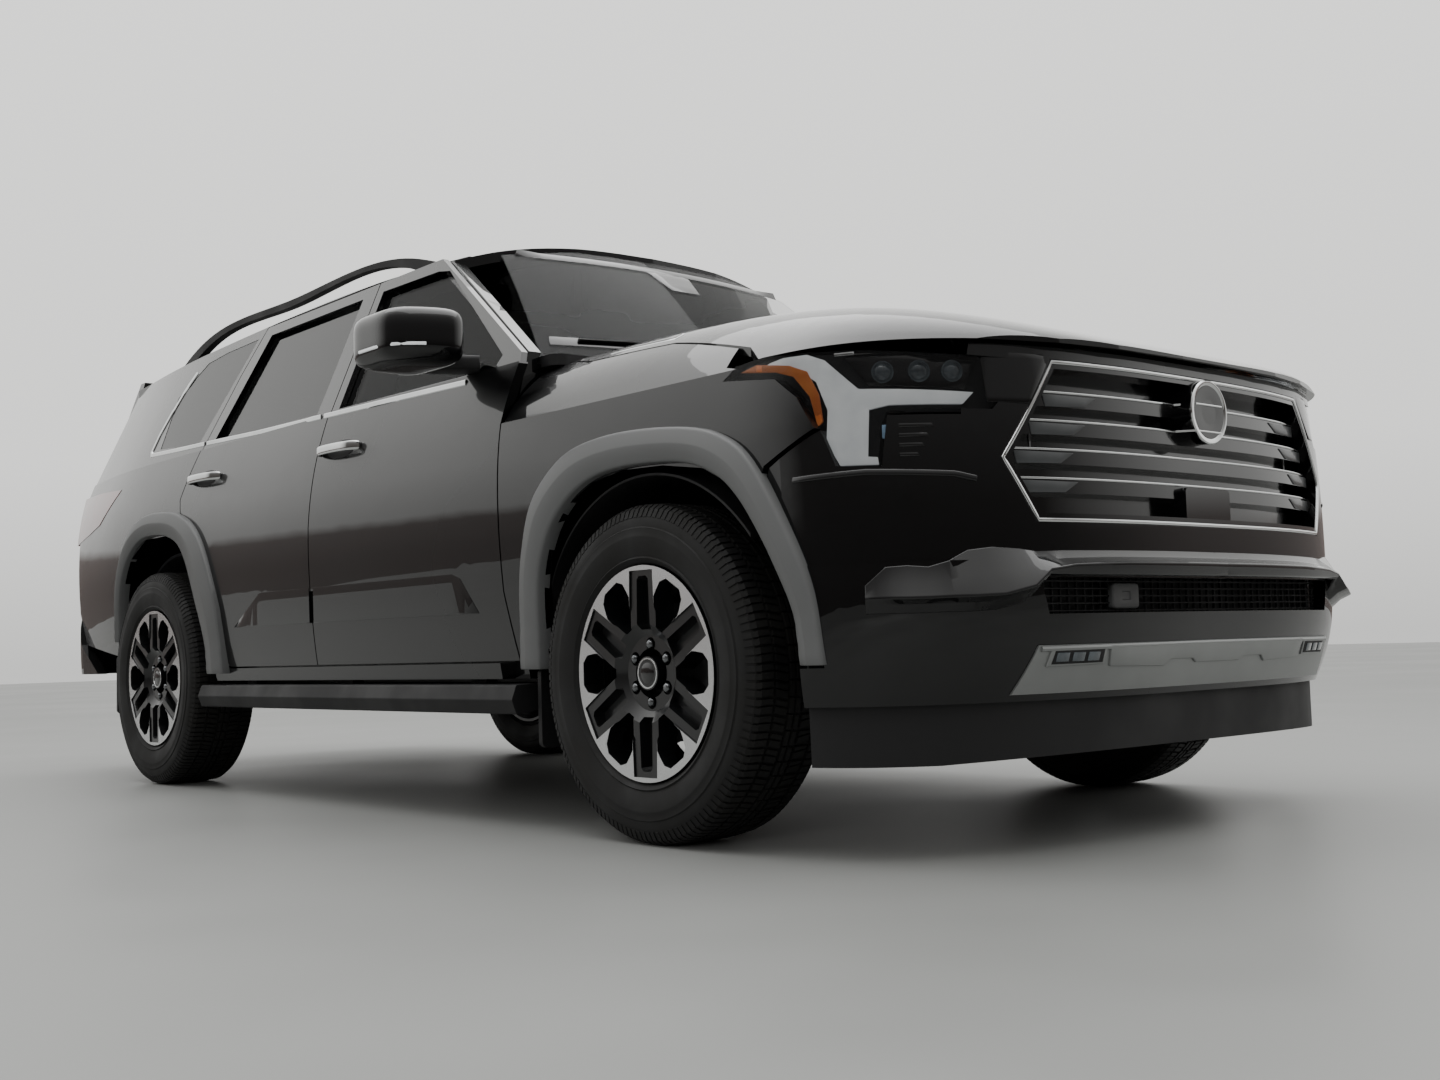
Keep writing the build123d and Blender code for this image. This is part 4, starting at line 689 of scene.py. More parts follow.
LOWEST = 470.0            # below this the body side ends, so a flare goes straight down from here
STATIONS = 72
for side_name, side in SIDES:
    on_side = (skin("front_fenders", "body_sides", "front_bumper", "rear_bumper", "wheel_arch_flares",
                    "front_door_" + side_name, "rear_door_" + side_name), FLANK[side])
    for end, (outer, inner) in FLARES.items():
        low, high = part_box(f"{end}_tyre_{side_name}")
        axle = (low[1] + high[1]) / 2 / MM
        lines = []
        for (oy, oz), (iy, iz) in zip(smooth_line(outer, STATIONS), smooth_line(inner, STATIONS)):
            across = Vector((iy - oy, iz - oz)).normalized()
            width = math.hypot(iy - oy, iz - oz)
            body_x, face_x = [side / MM * land(on_side, oy + across.x * run + axle,
                                               max(oz + across.y * run, LOWEST)).x
                              for run in (-8, width * 0.45)]
            lines.append((oy, oz, across, width, body_x, face_x))
        rows = []
        for k, (oy, oz, across, width, body_x, face_x) in enumerate(lines):
            near = lines[max(0, k - 4):k + 5]
            body_x, face_x = [sorted(line[i] for line in near)[len(near) // 2] for i in (4, 5)]
            rows.append([Vector((side * out_x, oy + across.x * share + axle, oz + across.y * share)) * MM
                         for share, out_x in (
                             (-7, body_x - 12), (-7, body_x + 1), (-6, face_x - 4),
                             (-2, face_x + 0.5), (2, face_x + 2.0), (width * 0.4, face_x + 12),
                             (width * 0.45, face_x + 12.4), (width - 8, face_x + 6),
                             (width - 2, face_x + 2), (width, face_x - 5), (width + 0.5, face_x - 40),
                             (width - 5, face_x - 40), (width - 12, face_x - 12))])
        flare = piece(f"wheel_flare_{end}_{side_name}", loft(rows), flare_grey,
                      smooth_below=50.0, bevel=(2.5, 2, 38))
        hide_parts("wheel_arch_flares")


# ------------------------------------------------------------------ headlamps
def lamp_shell(node, side, middle_y, least, sink, thick):
    """Outer skin of a CAD lamp, sunk by some mm and given a thickness.

    It holds the faces of one side that look away from the corner's middle, by at least some cosine.
    """
    shape = bmesh.new()
    shape.from_mesh(frame["nodes"][node].data)
    bmesh.ops.remove_doubles(shape, verts=shape.verts, dist=1e-5)
    shape.normal_update()
    gone = []
    for face in shape.faces:
        at = face.calc_center_median()
        away = Vector((at.x - side * CORNER_X, at.y - middle_y, 0)).normalized()
        if at.x * side <= 0 or face.normal.dot(away) <= least:
            gone.append(face)
    bmesh.ops.delete(shape, geom=gone, context="FACES")
    shape.normal_update()
    ways = [-vert.normal for vert in shape.verts]
    for vert, way in zip(shape.verts, ways):
        vert.co += way * sink * MM
    return thicken(shape, ways, thick)


def lamp_shells(kind, node, side_name, side, middle_y, least, lens, housing_sink):
    """Lens of a CAD lamp and the housing behind it."""
    for name, material, sink, thick in (("lens", lens, 0.0, 2.5),
                                        ("housing", trim_black, housing_sink, 10.0)):
        shell = piece(f"{kind}_{name}_{side_name}",
                      lamp_shell(node, side, middle_y, least, sink, thick), material,
                      slot=SLOT[lens], smooth_below=30.0)
        if name == "lens":
            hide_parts(node)


# Plates inside a headlamp on the nose chart: piece, outline, material, lift off the lens, thickness.
LAMP_PLATES = (
    ("guide_arch", [(73, 1088), (70, 1098), (66, 1104), (60, 1103), (56, 1086), (49, 1016),
                    (25.5, 1004), (28, 978), (43, 978), (47, 970), (47.5, 868), (45.6, 866),
                    (45.4, 850), (53.2, 852), (56, 906), (55.6, 975), (58, 1040), (61.5, 1068)],
     lamp_white, -5.0, 14.0),
    ("amber", [(80, 1091), (74, 1101), (64.5, 1085), (60, 1066), (57.4, 1012), (56.6, 952),
               (57.8, 940), (59.6, 1010), (63.4, 1058), (68, 1074)], lamp_amber, -2.6, 12.0),
    ("marker", [(44.6, 905), (43.6, 905), (43.6, 935), (44.6, 935)], marker_blue, -2.6, 8.0),
    ("visor", [(54, 1100), (40, 1102), (24, 1098), (22, 1090), (40, 1094), (54, 1092)], chrome,
     -9.0, 12.0),
    ("chamber", [(52, 1090), (23, 1088), (25, 1052), (27, 1012), (47, 1024)], piano_black,
     -20.0, 10.0))
EYE = ((-14, 0.3), (9, 0.3), (7.5, 9), (4, 15), (0, 18.5), (0, 20), (2.5, 21), (2.5, 24), (-14, 25))
EYES_UP_MM, EYE_DEGREES = 1052, (44.0, 36.5, 29.5)
LOUVRES, LOUVRE_TOP, LOUVRE_PITCH = 4, 935, 21
front_skin = skin("front_grille", "front_bumper", "skid_plate")
for side_name, side in SIDES:
    on_lamp = (skin("headlamps"), corner(side, -1))
    lamp_shells("lamp", "headlamps", side_name, side, -CORNER_Y, 0.45, lamp_lens, 34.0)
    for name, outline, material, lift, thick in LAMP_PLATES:
        plate(f"lamp_{name}_{side_name}", outline, on_lamp, material, lift, thick,
              steps=(4.0, 30.0), edge=2.5, slot="lamp_lens")
    for k, degrees in enumerate(EYE_DEGREES):
        middle = land(on_lamp, degrees, EYES_UP_MM, -16.0)
        piece(f"lamp_eye_{k}_{side_name}",
              turned(EYE, middle, 32, -on_lamp[1](degrees, EYES_UP_MM)[1]), lamp_eye)
    for k in range(LOUVRES):
        up_mm = LOUVRE_TOP - LOUVRE_PITCH * k
        plate(f"lamp_louvre_{k}_{side_name}",
              [(41.5, up_mm), (35 + k, up_mm), (34.5 + k, up_mm - 8), (41.5, up_mm - 8)],
              (front_skin, on_lamp[1]), piano_black, lift=3.0, thick=5.0, steps=(3.0, 30.0), edge=1.2)

# ------------------------------------------------------------------ front bumper
bumper_skin = skin("front_bumper", "skid_plate")
on_bumper = (bumper_skin, ahead_on)
# Shelf of the lower bumper round each corner: degrees on the nose chart, then its top edge, its
# stand-out in mm at the brow, and the height of that brow.
SHELF = ((-33.5, 662, 26, 634), (-20, 662, 26, 634), (-5, 661, 27, 633), (8, 660, 30, 628),
         (14, 658, 36, 618), (18, 664, 46, 584), (24, 668, 48, 568), (29, 662, 40, 566),
         (33, 640, 30, 566), (37, 628, 30, 565), (41, 632, 32, 565), (45, 630, 26, 566),
         (51, 572, 2, 566))
INTAKE_TOP = 612.0        # above the intake the skin is met no lower than this
for side_name, side in SIDES:
    round_nose = (bumper_skin, corner(side, -1))
    rows = []
    for first, second in zip(SHELF, SHELF[1:]):
        for k in range(3):
            angle, top_mm, out_mm, brow = [p + (q - p) * (k / 3) for p, q in zip(first, second)]
            heights = [(top_mm, -6), (top_mm, 0.6), (brow + 0.45 * (top_mm - brow), 0.42 * out_mm),
                       (brow, out_mm), (brow - 5, out_mm * 1.02)]
            if angle < 15:
                heights += [(607, out_mm * 0.9), (603.0, out_mm * 0.7), (603.0, -10)]
                rows.append([land(round_nose, angle, max(z, INTAKE_TOP), lift)
                             + Vector((0, 0, min(z - INTAKE_TOP, 0.0) * MM)) for z, lift in heights])
            else:
                heights += [(brow - 16, out_mm * 0.5), (brow - 34, 2.0), (brow - 40, -10)]
                rows.append([land(round_nose, angle, z, lift) for z, lift in heights])
    piece("bumper_shelf_" + side_name, loft(rows), paint, smooth_below=15.0,
          bevel=(1.6, 2, 16))
    crease = trace(round_nose, [(64, 826), (48, 831), (31, 822), (26.5, 811)], each=6)
    piece("lamp_crease_" + side_name,
          sweep(crease, ((-4, -12), (1, -9), (3.6, -1), (3, 3), (-4, 5)),
                lambda p: Vector((p.x, p.y + CORNER_Y, 0)).normalized()),
          paint, smooth_below=30.0, bevel=(1.5, 2, 25))
    # Piece, outline, material, lift, thickness, step across, rounding.
    fog_plates = [("frame_", ((424, 448), (582, 446), (588, 408), (424, 410)), silver, 5.0, 7.0,
                   30, 1.5),
                  ("pocket_", ((432, 443), (572, 442), (577, 413), (432, 414)), trim_black, 5.8, 4.0,
                   30, 0.8)]
    fog_plates += [(f"lamp_{k}_", ((at, 438), (at + 33, 438), (at + 33, 418), (at, 418)), lamp_eye,
                    7.5, 4.0, 40, 1.5) for k, at in enumerate((446, 490, 534))]
    for name, outline, material, lift, thick, step, edge in fog_plates:
        plate("fog_" + name + side_name, [(side * a, z) for a, z in outline], on_bumper, material,
              lift, thick, steps=(step, 60), edge=edge,
              slot="skid_silver" if material is silver else "lamp_lens")
STEP_LINE = [(0, 404), (92, 404), (108, 414), (196, 414), (216, 399), (404, 404), (414, 450), (0, 451)]
plate("skid_relief", STEP_LINE + [(-a, z) for a, z in reversed(STEP_LINE[1:-1])], on_bumper, silver,
      lift=6.0, thick=8.0, steps=(60, 60), edge=2.0)
lip_path = trace(on_bumper, [(-606, 447), (0, 449), (606, 447)], each=16)
piece("skid_lip", sweep(lip_path, ((-3, -7), (4, -5), (6, 0), (4, 5), (-3, 7)), FORWARD), silver)
# The intake's mesh in metres: flat slats, posts behind them and a back plate.
repeated("intake_slats", block((-0.595, -2.556, 0), (0.595, -2.548, 0.004)), 5, trim_black,
         step=(0, 0, 0.0165), place=(0, 0, 0.527), edge=0.8, slot="grille_black")
repeated("intake_posts", block((0, -2.552, 0.520), (0.004, -2.545, 0.602)), 41, trim_black,
         step=(0.0295, 0, 0), place=(-0.592, 0, 0), edge=0.8, slot="grille_black")
piece("intake_back", block((-0.61, -2.52, 0.505), (0.61, -2.512, 0.612)), trim_black,
      slot="grille_black", bevel=(2.0,))
COVER_X, COVER_UP = -0.275, 0.562
cover_rows = [[Vector((COVER_X + a * MM * share, y, COVER_UP + b * MM * share))
               for a, b in rounded(104, 58, 10)]
              for share, y in ((1.0, -2.552), (1.0, -2.563), (0.95, -2.566), (0.35, -2.5665),
                               (0.3, -2.5635))]
piece("tow_eye_cover", loft(cover_rows), flare_grey, slot="grille_black", bevel=(1.0,))

# ------------------------------------------------------------------ side trim
STRIP = ((-2, -8.5), (2.5, -8.5), (4.5, -6), (4.5, 6), (2.5, 8.5), (-2, 8.5))
HANDLE = ((-128, -2), (-124, 14), (-108, 30), (-70, 38), (0, 41), (70, 38), (108, 30), (124, 14),
          (128, -2))
HANDLE_SLOPE, CUP_HALF, LOCK_AT = 0.016, (92, 30), (150, 3)       # rise, half size, mm behind and up
# Chrome under the windows and up the rear edge of the quarter window.
BELT = (("front_door", ((-822, 1253), (-440, 1262), (68, 1272))),
        ("rear_door", ((92, 1273), (600, 1283), (1062, 1299))),
        ("body_sides", ((1086, 1300), (1380, 1308), (1646, 1318), (1660, 1332), (1654, 1403),
                        (1622, 1489), (1580, 1578), (1516, 1655))))
# Box of a mirror housing in mm on the left side, its middle in X and Z, its back in Y, half sizes.
MIRROR_X, MIRROR_Y, MIRROR_Z, MIRROR_HALF = 1132, -702, 1354, (113, 143, 83)
FLAT_BACK, NARROWER, LOWER = 1.22, 0.24, 0.08     # cut behind, and what the outer end loses
for side_name, side in SIDES:
    outwards = (side, 0.0, 0.0)
    for part, legs in BELT:
        body = "body" if part == "body_sides" else f"{part}_{side_name}"
        node = part if body == "body" else body
        path = trace((skin(node, "quarter_windows"), FLANK[side]), legs)
        piece(f"belt_strip_{part}_{side_name}", sweep(path, STRIP, outwards), chrome, body)
    for door, centre_mm, up_mm in (("front_door", -110, 1140), ("rear_door", 955, 1152)):
        body = f"{door}_{side_name}"
        on_door = (skin(body), FLANK[side])
        path = [land(on_door, centre_mm + a, up_mm + HANDLE_SLOPE * a, lift) for a, lift in HANDLE]
        piece("handle_" + body, sweep(path, [(0.55 * a, b) for a, b in rounded(20, 30, 8)], outwards),
              chrome, body, smooth_below=60.0,
              modifiers=(("SUBSURF", {"levels": 2, "render_levels": 2}),))
        cup = [(centre_mm + CUP_HALF[0] * math.cos(t), up_mm + CUP_HALF[1] * math.sin(t))
               for t in [math.pi * k / 12 for k in range(24)]]
        plate("handle_cup_" + body, cup, on_door, trim_black, lift=0.8, thick=3.0, steps=(40, 40),
              edge=0.6, body=body, slot="body_paint")
        lock = turned([(side * a, r) for a, r in ((-2, 0.3), (3, 0.3), (3.5, 5), (2.5, 8), (-2, 8))],
                      land(on_door, centre_mm + LOCK_AT[0], up_mm + LOCK_AT[1], 0.5), 24)
        piece("handle_lock_" + body, lock, paint, body)
    body = "front_door_" + side_name
    shape = bmesh.new()
    bmesh.ops.create_cube(shape, size=2.0)
    bmesh.ops.subdivide_edges(shape, edges=shape.edges, cuts=15, use_grid_fill=True)
    for vert in shape.verts:
        p = squared(vert.co, 4.6)
        outer = ((p.x + 1) / 2) ** 2
        depth = (1 - min(FLAT_BACK * p.y, 1.0)) / (1 + FLAT_BACK) * 2 * MIRROR_HALF[1]
        vert.co = Vector((side * (MIRROR_X + MIRROR_HALF[0] * p.x),
                          MIRROR_Y - depth * (1 - NARROWER * outer),
                          MIRROR_Z + MIRROR_HALF[2] * p.z * (1 - LOWER * outer))) * MM
    outward(shape)
    mirror_skin = BVHTree.FromBMesh(shape)
    housing = piece("mirror_housing_" + side_name, shape, paint, body, smooth_below=40.0)
    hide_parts("door_mirror_" + side_name)
    arm = [Vector((side * x, y, 1300)) * MM for x, y in ((1052, -792), (1020, -806), (975, -832),
                                                         (921, -864))]
    piece("mirror_arm_" + side_name, sweep(arm, rounded(42, 104, 13), (0, 0, 1)), trim_black, body,
          smooth_below=40.0)
    plate("mirror_glass_" + side_name,
          [(side * 1128 + 0.88 * a, 1352 + 0.88 * b) for a, b in rounded(188, 118, 26, 4)],
          (skin("door_mirror_" + side_name), behind_on), mirror_glass, lift=1.5, thick=3.0,
          steps=(30, 30), body=body)
    blinker = []
    for x, y, z in ((1.080, -0.862, 1.322), (1.130, -0.866, 1.321), (1.180, -0.852, 1.320),
                    (1.215, -0.805, 1.320), (1.236, -0.745, 1.320)):
        point = Vector((side * x, y, z))
        inwards = Vector((-side * 0.25, 0.35, 0)).normalized()
        blinker.append(mirror_skin.ray_cast(point - inwards * 0.5, inwards)[0] or point)
    piece("mirror_blinker_" + side_name,
          sweep(blinker, ((-2, -5), (2.4, -4), (3.2, 0), (2.4, 4), (-2, 5)), (side * 0.6, -0.8, 0)),
          lamp_white, body, smooth_below=40.0)


# ------------------------------------------------------------------ glass, wipers, hood, roof
PIVOT_LIFT, BOW_LIFT, TIP_LIFT, BLADE_LIFT = 14, 26, 22, 3.0


def wiper(name, chart, pivot, tip, blade_from, blade_to, body="body"):
    """Wiper arm from its pivot, with a rubber blade lying on the glass."""
    out = -chart[1](*pivot)[1]
    foot = land(chart, *pivot, PIVOT_LIFT)
    path = [foot, foot.lerp(land(chart, *tip, BOW_LIFT), 0.5), land(chart, *tip, TIP_LIFT)]
    piece("wiper_arm_" + name, sweep(path, rounded(7, 15, 3, 2), out), trim_black, body,
          bevel=(1.0,))
    piece("wiper_pivot_" + name,
          turned(((-16, 0.3), (12, 0.3), (11, 9), (4, 15), (-16, 16)), foot, 24, out), trim_black, body)
    piece("wiper_blade_" + name,
          sweep(trace(chart, [blade_from, blade_to], BLADE_LIFT, 14),
                ((-2.5, -1), (4, -5), (12, -3.5), (15, 0), (12, 3.5), (4, 5), (-2.5, 1)), out),
          rubber, body)


on_screen = (skin("windscreen"), ahead_on)
wiper("driver", on_screen, (560, 1385), (300, 1408), (610, 1402), (20, 1412))
wiper("passenger", on_screen, (-40, 1385), (-330, 1402), (-30, 1406), (-610, 1396))
for name, outline in (("top", [(-560, 1762), (560, 1762), (572, 1738), (-572, 1738)]),
                      ("foot", [(-690, 1405), (690, 1405), (705, 1375), (-705, 1375)]),
                      ("sensor", [(-90, 1740), (90, 1740), (60, 1660), (-60, 1660)])):
    plate("screen_band_" + name, outline, on_screen, piano_black, lift=0.6, thick=1.2,
          steps=(50, 30), edge=0.3, slot="clear_glass")
on_hood, on_roof = (skin("hood"), above_on), (skin("roof_panel"), above_on)
for side_name, side in SIDES:
    for k in range(2):
        plate(f"hood_slot_{k}_{side_name}",
              [(side * a, b + 62 * k) for a, b in ((790, -1560), (812, -1558), (812, -1508),
                                                   (790, -1510))],
              on_hood, trim_black, lift=1.5, thick=3.0, steps=(40, 40), body="hood",
              slot="body_paint")
    at = land(on_hood, side * 300, -1190)
    nozzle = block(at - Vector((0.014, 0.009, 0.002)), at + Vector((0.014, 0.009, 0.007)))
    piece("washer_nozzle_" + side_name, nozzle, trim_black, "hood", bevel=(3.5, 3))
    ditch = trace(on_roof, [(side * 640, -380), (side * 655, 300), (side * 650, 1300),
                            (side * 630, 2080)], each=10)
    piece("roof_ditch_strip_" + side_name,
          sweep(ditch, ((-2, -7), (2, -6), (3, 0), (2, 6), (-2, 7)), (0, 0, 1)), rubber)

# ------------------------------------------------------------------ rear
on_gate = (skin("tailgate"), behind_on)
SENSORS_UP_MM, SENSOR_DEGREES, TAIL_LAMP_Y = 640, (-8.0, 14.0), 1.75
for side_name, side in SIDES:
    lamp_shells("tail", "tail_lamps", side_name, side, TAIL_LAMP_Y, 0.5, lamp_red, 26.0)
    round_tail = (skin("rear_bumper"), corner(side, 1))
    plate("reflector_" + side_name, [(16, 600), (32, 600), (32, 572), (16, 572)], round_tail, lamp_red,
          lift=2.0, steps=(4, 30), edge=1.5)
    for k, degrees in enumerate(SENSOR_DEGREES):
        dot = turned(((-2, 0.3), (1.2, 0.3), (1.2, 9), (0.4, 11), (-2, 11)),
                     land(round_tail, degrees, SENSORS_UP_MM, 0.4), 24,
                     -round_tail[1](degrees, SENSORS_UP_MM)[1])
        piece(f"rear_sensor_{k}_{side_name}", dot, piano_black, slot="trim_plastic")
wiper("rear", (skin("tailgate_glass"), behind_on), (0, 1300), (-230, 1322), (-20, 1318), (-380, 1318),
      "tailgate")
gate_bar = trace(on_gate, [(-430, 1010), (0, 1016), (430, 1010)], 2.0, 12)
piece("tailgate_bar", sweep(gate_bar, rounded(14, 34, 6), (0, 1, 0)), chrome, "tailgate")
plate("plate_recess", [(-262, 962), (262, 962), (235, 800), (-235, 800)], on_gate, trim_black,
      lift=1.5, thick=3.0, steps=(60, 60), edge=2.0, body="tailgate")
plate("blank_plate", [(-152, 952), (152, 952), (152, 802), (-152, 802)], on_gate, plate_white,
      lift=4.5, thick=2.5, steps=(80, 80), body="tailgate")
plate("high_brake_light", [(-170, 1722), (170, 1722), (165, 1704), (-165, 1704)],
      (skin("tailgate", "roof_panel"), behind_on), lamp_red, lift=2.0, steps=(60, 60), edge=1.5,
      body="tailgate")

# ------------------------------------------------------------------ cabin
DOOR_TRIM = {"front_door": ((-980, 540), (-980, 1180), (-840, 1232), (-20, 1232), (20, 900), (20, 540)),
             "rear_door": ((160, 540), (150, 900), (130, 1240), (960, 1248), (1060, 1110), (860, 900),
                           (760, 540))}
for side_name, side in SIDES:
    for door, outline in DOOR_TRIM.items():
        body = f"{door}_{side_name}"
        inner = (skin(body), INSIDE[side])
        plate("trim_" + body, outline, inner, dash_skin, lift=2.0, thick=3.0, steps=(60, 60),
              edge=1.5, body=body)
        rest = trace(inner, [(outline[3][0] - 90, 1030), (outline[3][0] - 520, 1000)], 24.0)
        piece("armrest_" + body, sweep(rest, rounded(52, 60, 20, 4), (-side, 0, 0)), leather, body,
              smooth_below=60.0, bevel=(6.0, 3))


def pad_shape(width, length, thick, bolster, channels):
    """Cushion of a seat in mm: crowned, with raised sides and sewn channels, lying flat on Z."""
    shape = bmesh.new()
    bmesh.ops.create_cube(shape, size=2.0)
    bmesh.ops.subdivide_edges(shape, edges=shape.edges, cuts=11, use_grid_fill=True)
    for vert in shape.verts:
        p = squared(vert.co)
        top = max(0.0, p.z) ** 0.5
        ridge = max(0.0, min(1.0, (abs(p.x) - 0.55) / 0.2)) * (1 - abs(p.x) ** 14)
        crown = (1 - p.x ** 2) * (1 - p.y ** 2) * 0.16 * thick
        waist = 1 - 0.035 * (1 - abs(p.y) ** 4)
        dent = sum(math.exp(-((p.y * length / 2 - c) / 7.0) ** 2) for c in channels) * 5.0
        raised = ridge * bolster + crown - dent * (abs(p.x) < 0.56)
        vert.co = Vector((p.x * width / 2 * waist, p.y * length / 2,
                          p.z * thick / 2 + top * raised)) * MM
    return outward(shape)


VOXEL_MM, PRESSURE, SWELL_FRAMES = 11, 4.0, 12


def puffed(name, shape, cap_mm=9.0):
    """Lets air pressure swell a pad as sewn leather, then keeps the result as a mesh."""
    mesh = bpy.data.meshes.new(name)
    shape.to_mesh(mesh)
    shape.free()
    work = show(name, mesh)
    remesh = work.modifiers.new("skin", "REMESH")
    remesh.mode, remesh.voxel_size, remesh.use_smooth_shade = "VOXEL", VOXEL_MM * MM, True
    settle(work)
    flat = [v.co.copy() for v in work.data.vertices]
    cloth = work.modifiers.new("swell", "CLOTH")
    cloth.settings.use_pressure = True
    cloth.settings.uniform_pressure_force = PRESSURE
    cloth.settings.effector_weights.gravity = 0.0
    cloth.settings.quality = 4
    for frame_number in range(1, SWELL_FRAMES + 1):
        bpy.context.scene.frame_set(frame_number)
    settle(work)
    bpy.context.scene.frame_set(1)
    for vert, was in zip(work.data.vertices, flat):
        swollen = vert.co - was
        if swollen.length > cap_mm * MM:
            vert.co = was + swollen.normalized() * cap_mm * MM
    mesh = work.data
    bpy.data.objects.remove(work)
    return mesh


cushion = puffed("cushion_master", pad_shape(500, 450, 120, 26, (-110, -35, 40)))
back = puffed("back_master", pad_shape(480, 600, 105, 24, (-190, -115, -40, 35, 110)))
head = puffed("head_master", pad_shape(250, 165, 85, 2, ()), 6.0)


def seat(name, x, y, base_z, back_top, wide, floor_mm, replaced):
    """Seat of three padded pieces on a plastic skirt, with its headrest posts; in mm."""
    size, tall = wide / 500, (back_top - base_z - 40) / 600
    for part, master, up_mm, behind_mm, tilt, scale in (
            ("cushion", cushion, base_z + 62, -55, 3, (size, 0.95, 1, 1)),
            ("back", back, base_z + 60 + (back_top - base_z - 50) / 2, 262, 70, (size, tall, 1, 1)),
            ("head", head, back_top + 84, 388, 76, (1, 1, 1, 1))):
        shape = bmesh.new()
        shape.from_mesh(master)
        shape.transform(Matrix.Translation(Vector((x, y + behind_mm, up_mm)) * MM)
                        @ Matrix.Rotation(math.radians(tilt), 4, "X") @ Matrix.Diagonal(scale))
        pad = piece(f"{name}_{part}", shape, leather, smooth_below=70.0,
                    modifiers=(("SUBSURF", {"levels": 1, "render_levels": 1}),))
        if part == "cushion":
            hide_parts(replaced)
    low_w, top_w = wide * 0.40, wide * 0.47            # half widths of the skirt
    rows = []
    for z, w, front, rear in ((floor_mm, low_w, -200, 200), (floor_mm + 30, low_w, -205, 205),
                              (base_z - 30, top_w, -235, 170), (base_z + 26, top_w + 6, -250, 160),
                              (base_z + 36, top_w, -240, 150)):
        rows.append([Vector((x + a / 100 * w, y + (front + rear) / 2 + b / 100 * (rear - front) / 2, z))
                     * MM for a, b in rounded(200, 200, 34)])
    piece(name + "_skirt", loft(rows), trim_black)
    for k, post_x in enumerate((-60, 60)):
        foot = Vector((x + post_x, y + 352, back_top - 20)) * MM
        piece(f"{name}_post_{k}",
              sweep([foot, foot + Vector((0, 12, 60)) * MM], rounded(12, 12, 5.5), (1, 0, 0)),
              dark_chrome, slot="seat_leather", smooth_below=60.0)


for side_name, row_name, x, y, base_z, back_top, wide, floor_mm in (
        ("", "driver", 400, -88, 720, 1330, 530, 500), ("", "passenger", -400, -88, 720, 1330, 530, 500),
        ("left_", "second", 400, 564, 740, 1310, 520, 500),
        ("right_", "second", -400, 564, 740, 1310, 520, 500),
        ("left_", "third", 270, 1631, 850, 1280, 440, 700),
        ("right_", "third", -270, 1631, 850, 1280, 440, 700)):
    seat(f"{row_name}_{side_name}seat", x, y, base_z, back_top, wide, floor_mm,
         "rear_seats" if side_name else "front_seats")

# ------------------------------------------------------------------ painted panels
# Panels beside the grille, between the lamp's inner end and the grille's upper corner. They lie on
# the plane through the bumper there, with its slope across and up, and its slight curve.
PANEL_FROM, PANEL_LOW, PANEL_HIGH = 692.0, 982.0, 1094.0
for side_name, side in SIDES:
    rows = []
    for up_mm in [PANEL_LOW + (PANEL_HIGH - PANEL_LOW) * k / 9 for k in range(10)]:
        front_row = []
        for j in range(9):
            across_mm = PANEL_FROM + (grille_half(up_mm) + 1.0 - PANEL_FROM) * j / 8
            dx, dz = 590.0 - across_mm, up_mm - 1088.0
            front_row.append((across_mm, -2551.5 + (-0.27 * dx + 0.13 * dz) / 0.95 + 0.00125 * dx * dx))
        rows.append([Vector((side * a, b, up_mm)) * MM for a, b in front_row]
                    + [Vector((side * a, b + 5.0, up_mm)) * MM for a, b in reversed(front_row)])
    piece("corner_panel_" + side_name, loft(rows), paint, smooth_below=30.0,
          bevel=(1.0, 2, 40))

# Raised facets low on the doors: the lower edge stands out and the face leans back up to the door.
FACET_LOW, FACET_TOP = ((-922, 584), (700, 590)), ((-828, 700), (470, 704))
FACET_OUT, FACET_SUNK = 8.0, 8.0


def height_on(line, back_mm):
    """Height at a place along a straight edge given by its two ends."""
    (y0, z0), (y1, z1) = line
    return z0 + (z1 - z0) * (back_mm - y0) / (y1 - y0)


for side_name, side in SIDES:
    out = Vector((side, 0, 0)) * MM
    for door, first_mm, last_mm in (("front_door", FACET_LOW[0][0], 66),
                                    ("rear_door", 96, FACET_LOW[1][0])):
        body = f"{door}_{side_name}"
        on_door = (skin(body), FLANK[side])
        rows = []
        for back_mm in [first_mm + (last_mm - first_mm) * k / 24 for k in range(25)]:
            low_z, top_z = height_on(FACET_LOW, back_mm), height_on(FACET_TOP, back_mm)
            for (top_y, _), (tip_y, _) in zip(FACET_TOP, FACET_LOW):
                if (back_mm - top_y) * (tip_y - top_y) > 0:
                    top_z = low_z + 3 + (top_z - low_z - 3) * (tip_y - back_mm) / (tip_y - top_y)
            foot, brow = land(on_door, back_mm, low_z), land(on_door, back_mm, top_z)
            full = min(1.0, (top_z - low_z) / 30.0)
            rows.append([foot - out * FACET_SUNK, foot + out * FACET_OUT * full,
                         foot.lerp(brow, 0.03) + out * (FACET_OUT + 1) * full, brow + out * 0.9,
                         brow - out * FACET_SUNK])
        piece("door_facet_" + body, loft(rows), paint, body, smooth_below=20.0,
              bevel=(1.2, 2, 30))
    for name, inset, material, lift in (("frame", 0.0, chrome, 2.0), ("face", 5.0, piano_black, 3.6)):
        plate(f"hood_badge_{name}_{side_name}",
              [(side * a, b) for a, b in ((840 - inset, -1652 + inset), (832 - inset, -1372 - inset),
                                          (800 + inset, -1372 - inset), (806 + inset, -1652 + inset))],
              on_hood, material, lift, steps=(30, 40), edge=1.2, body="hood", slot="body_paint")

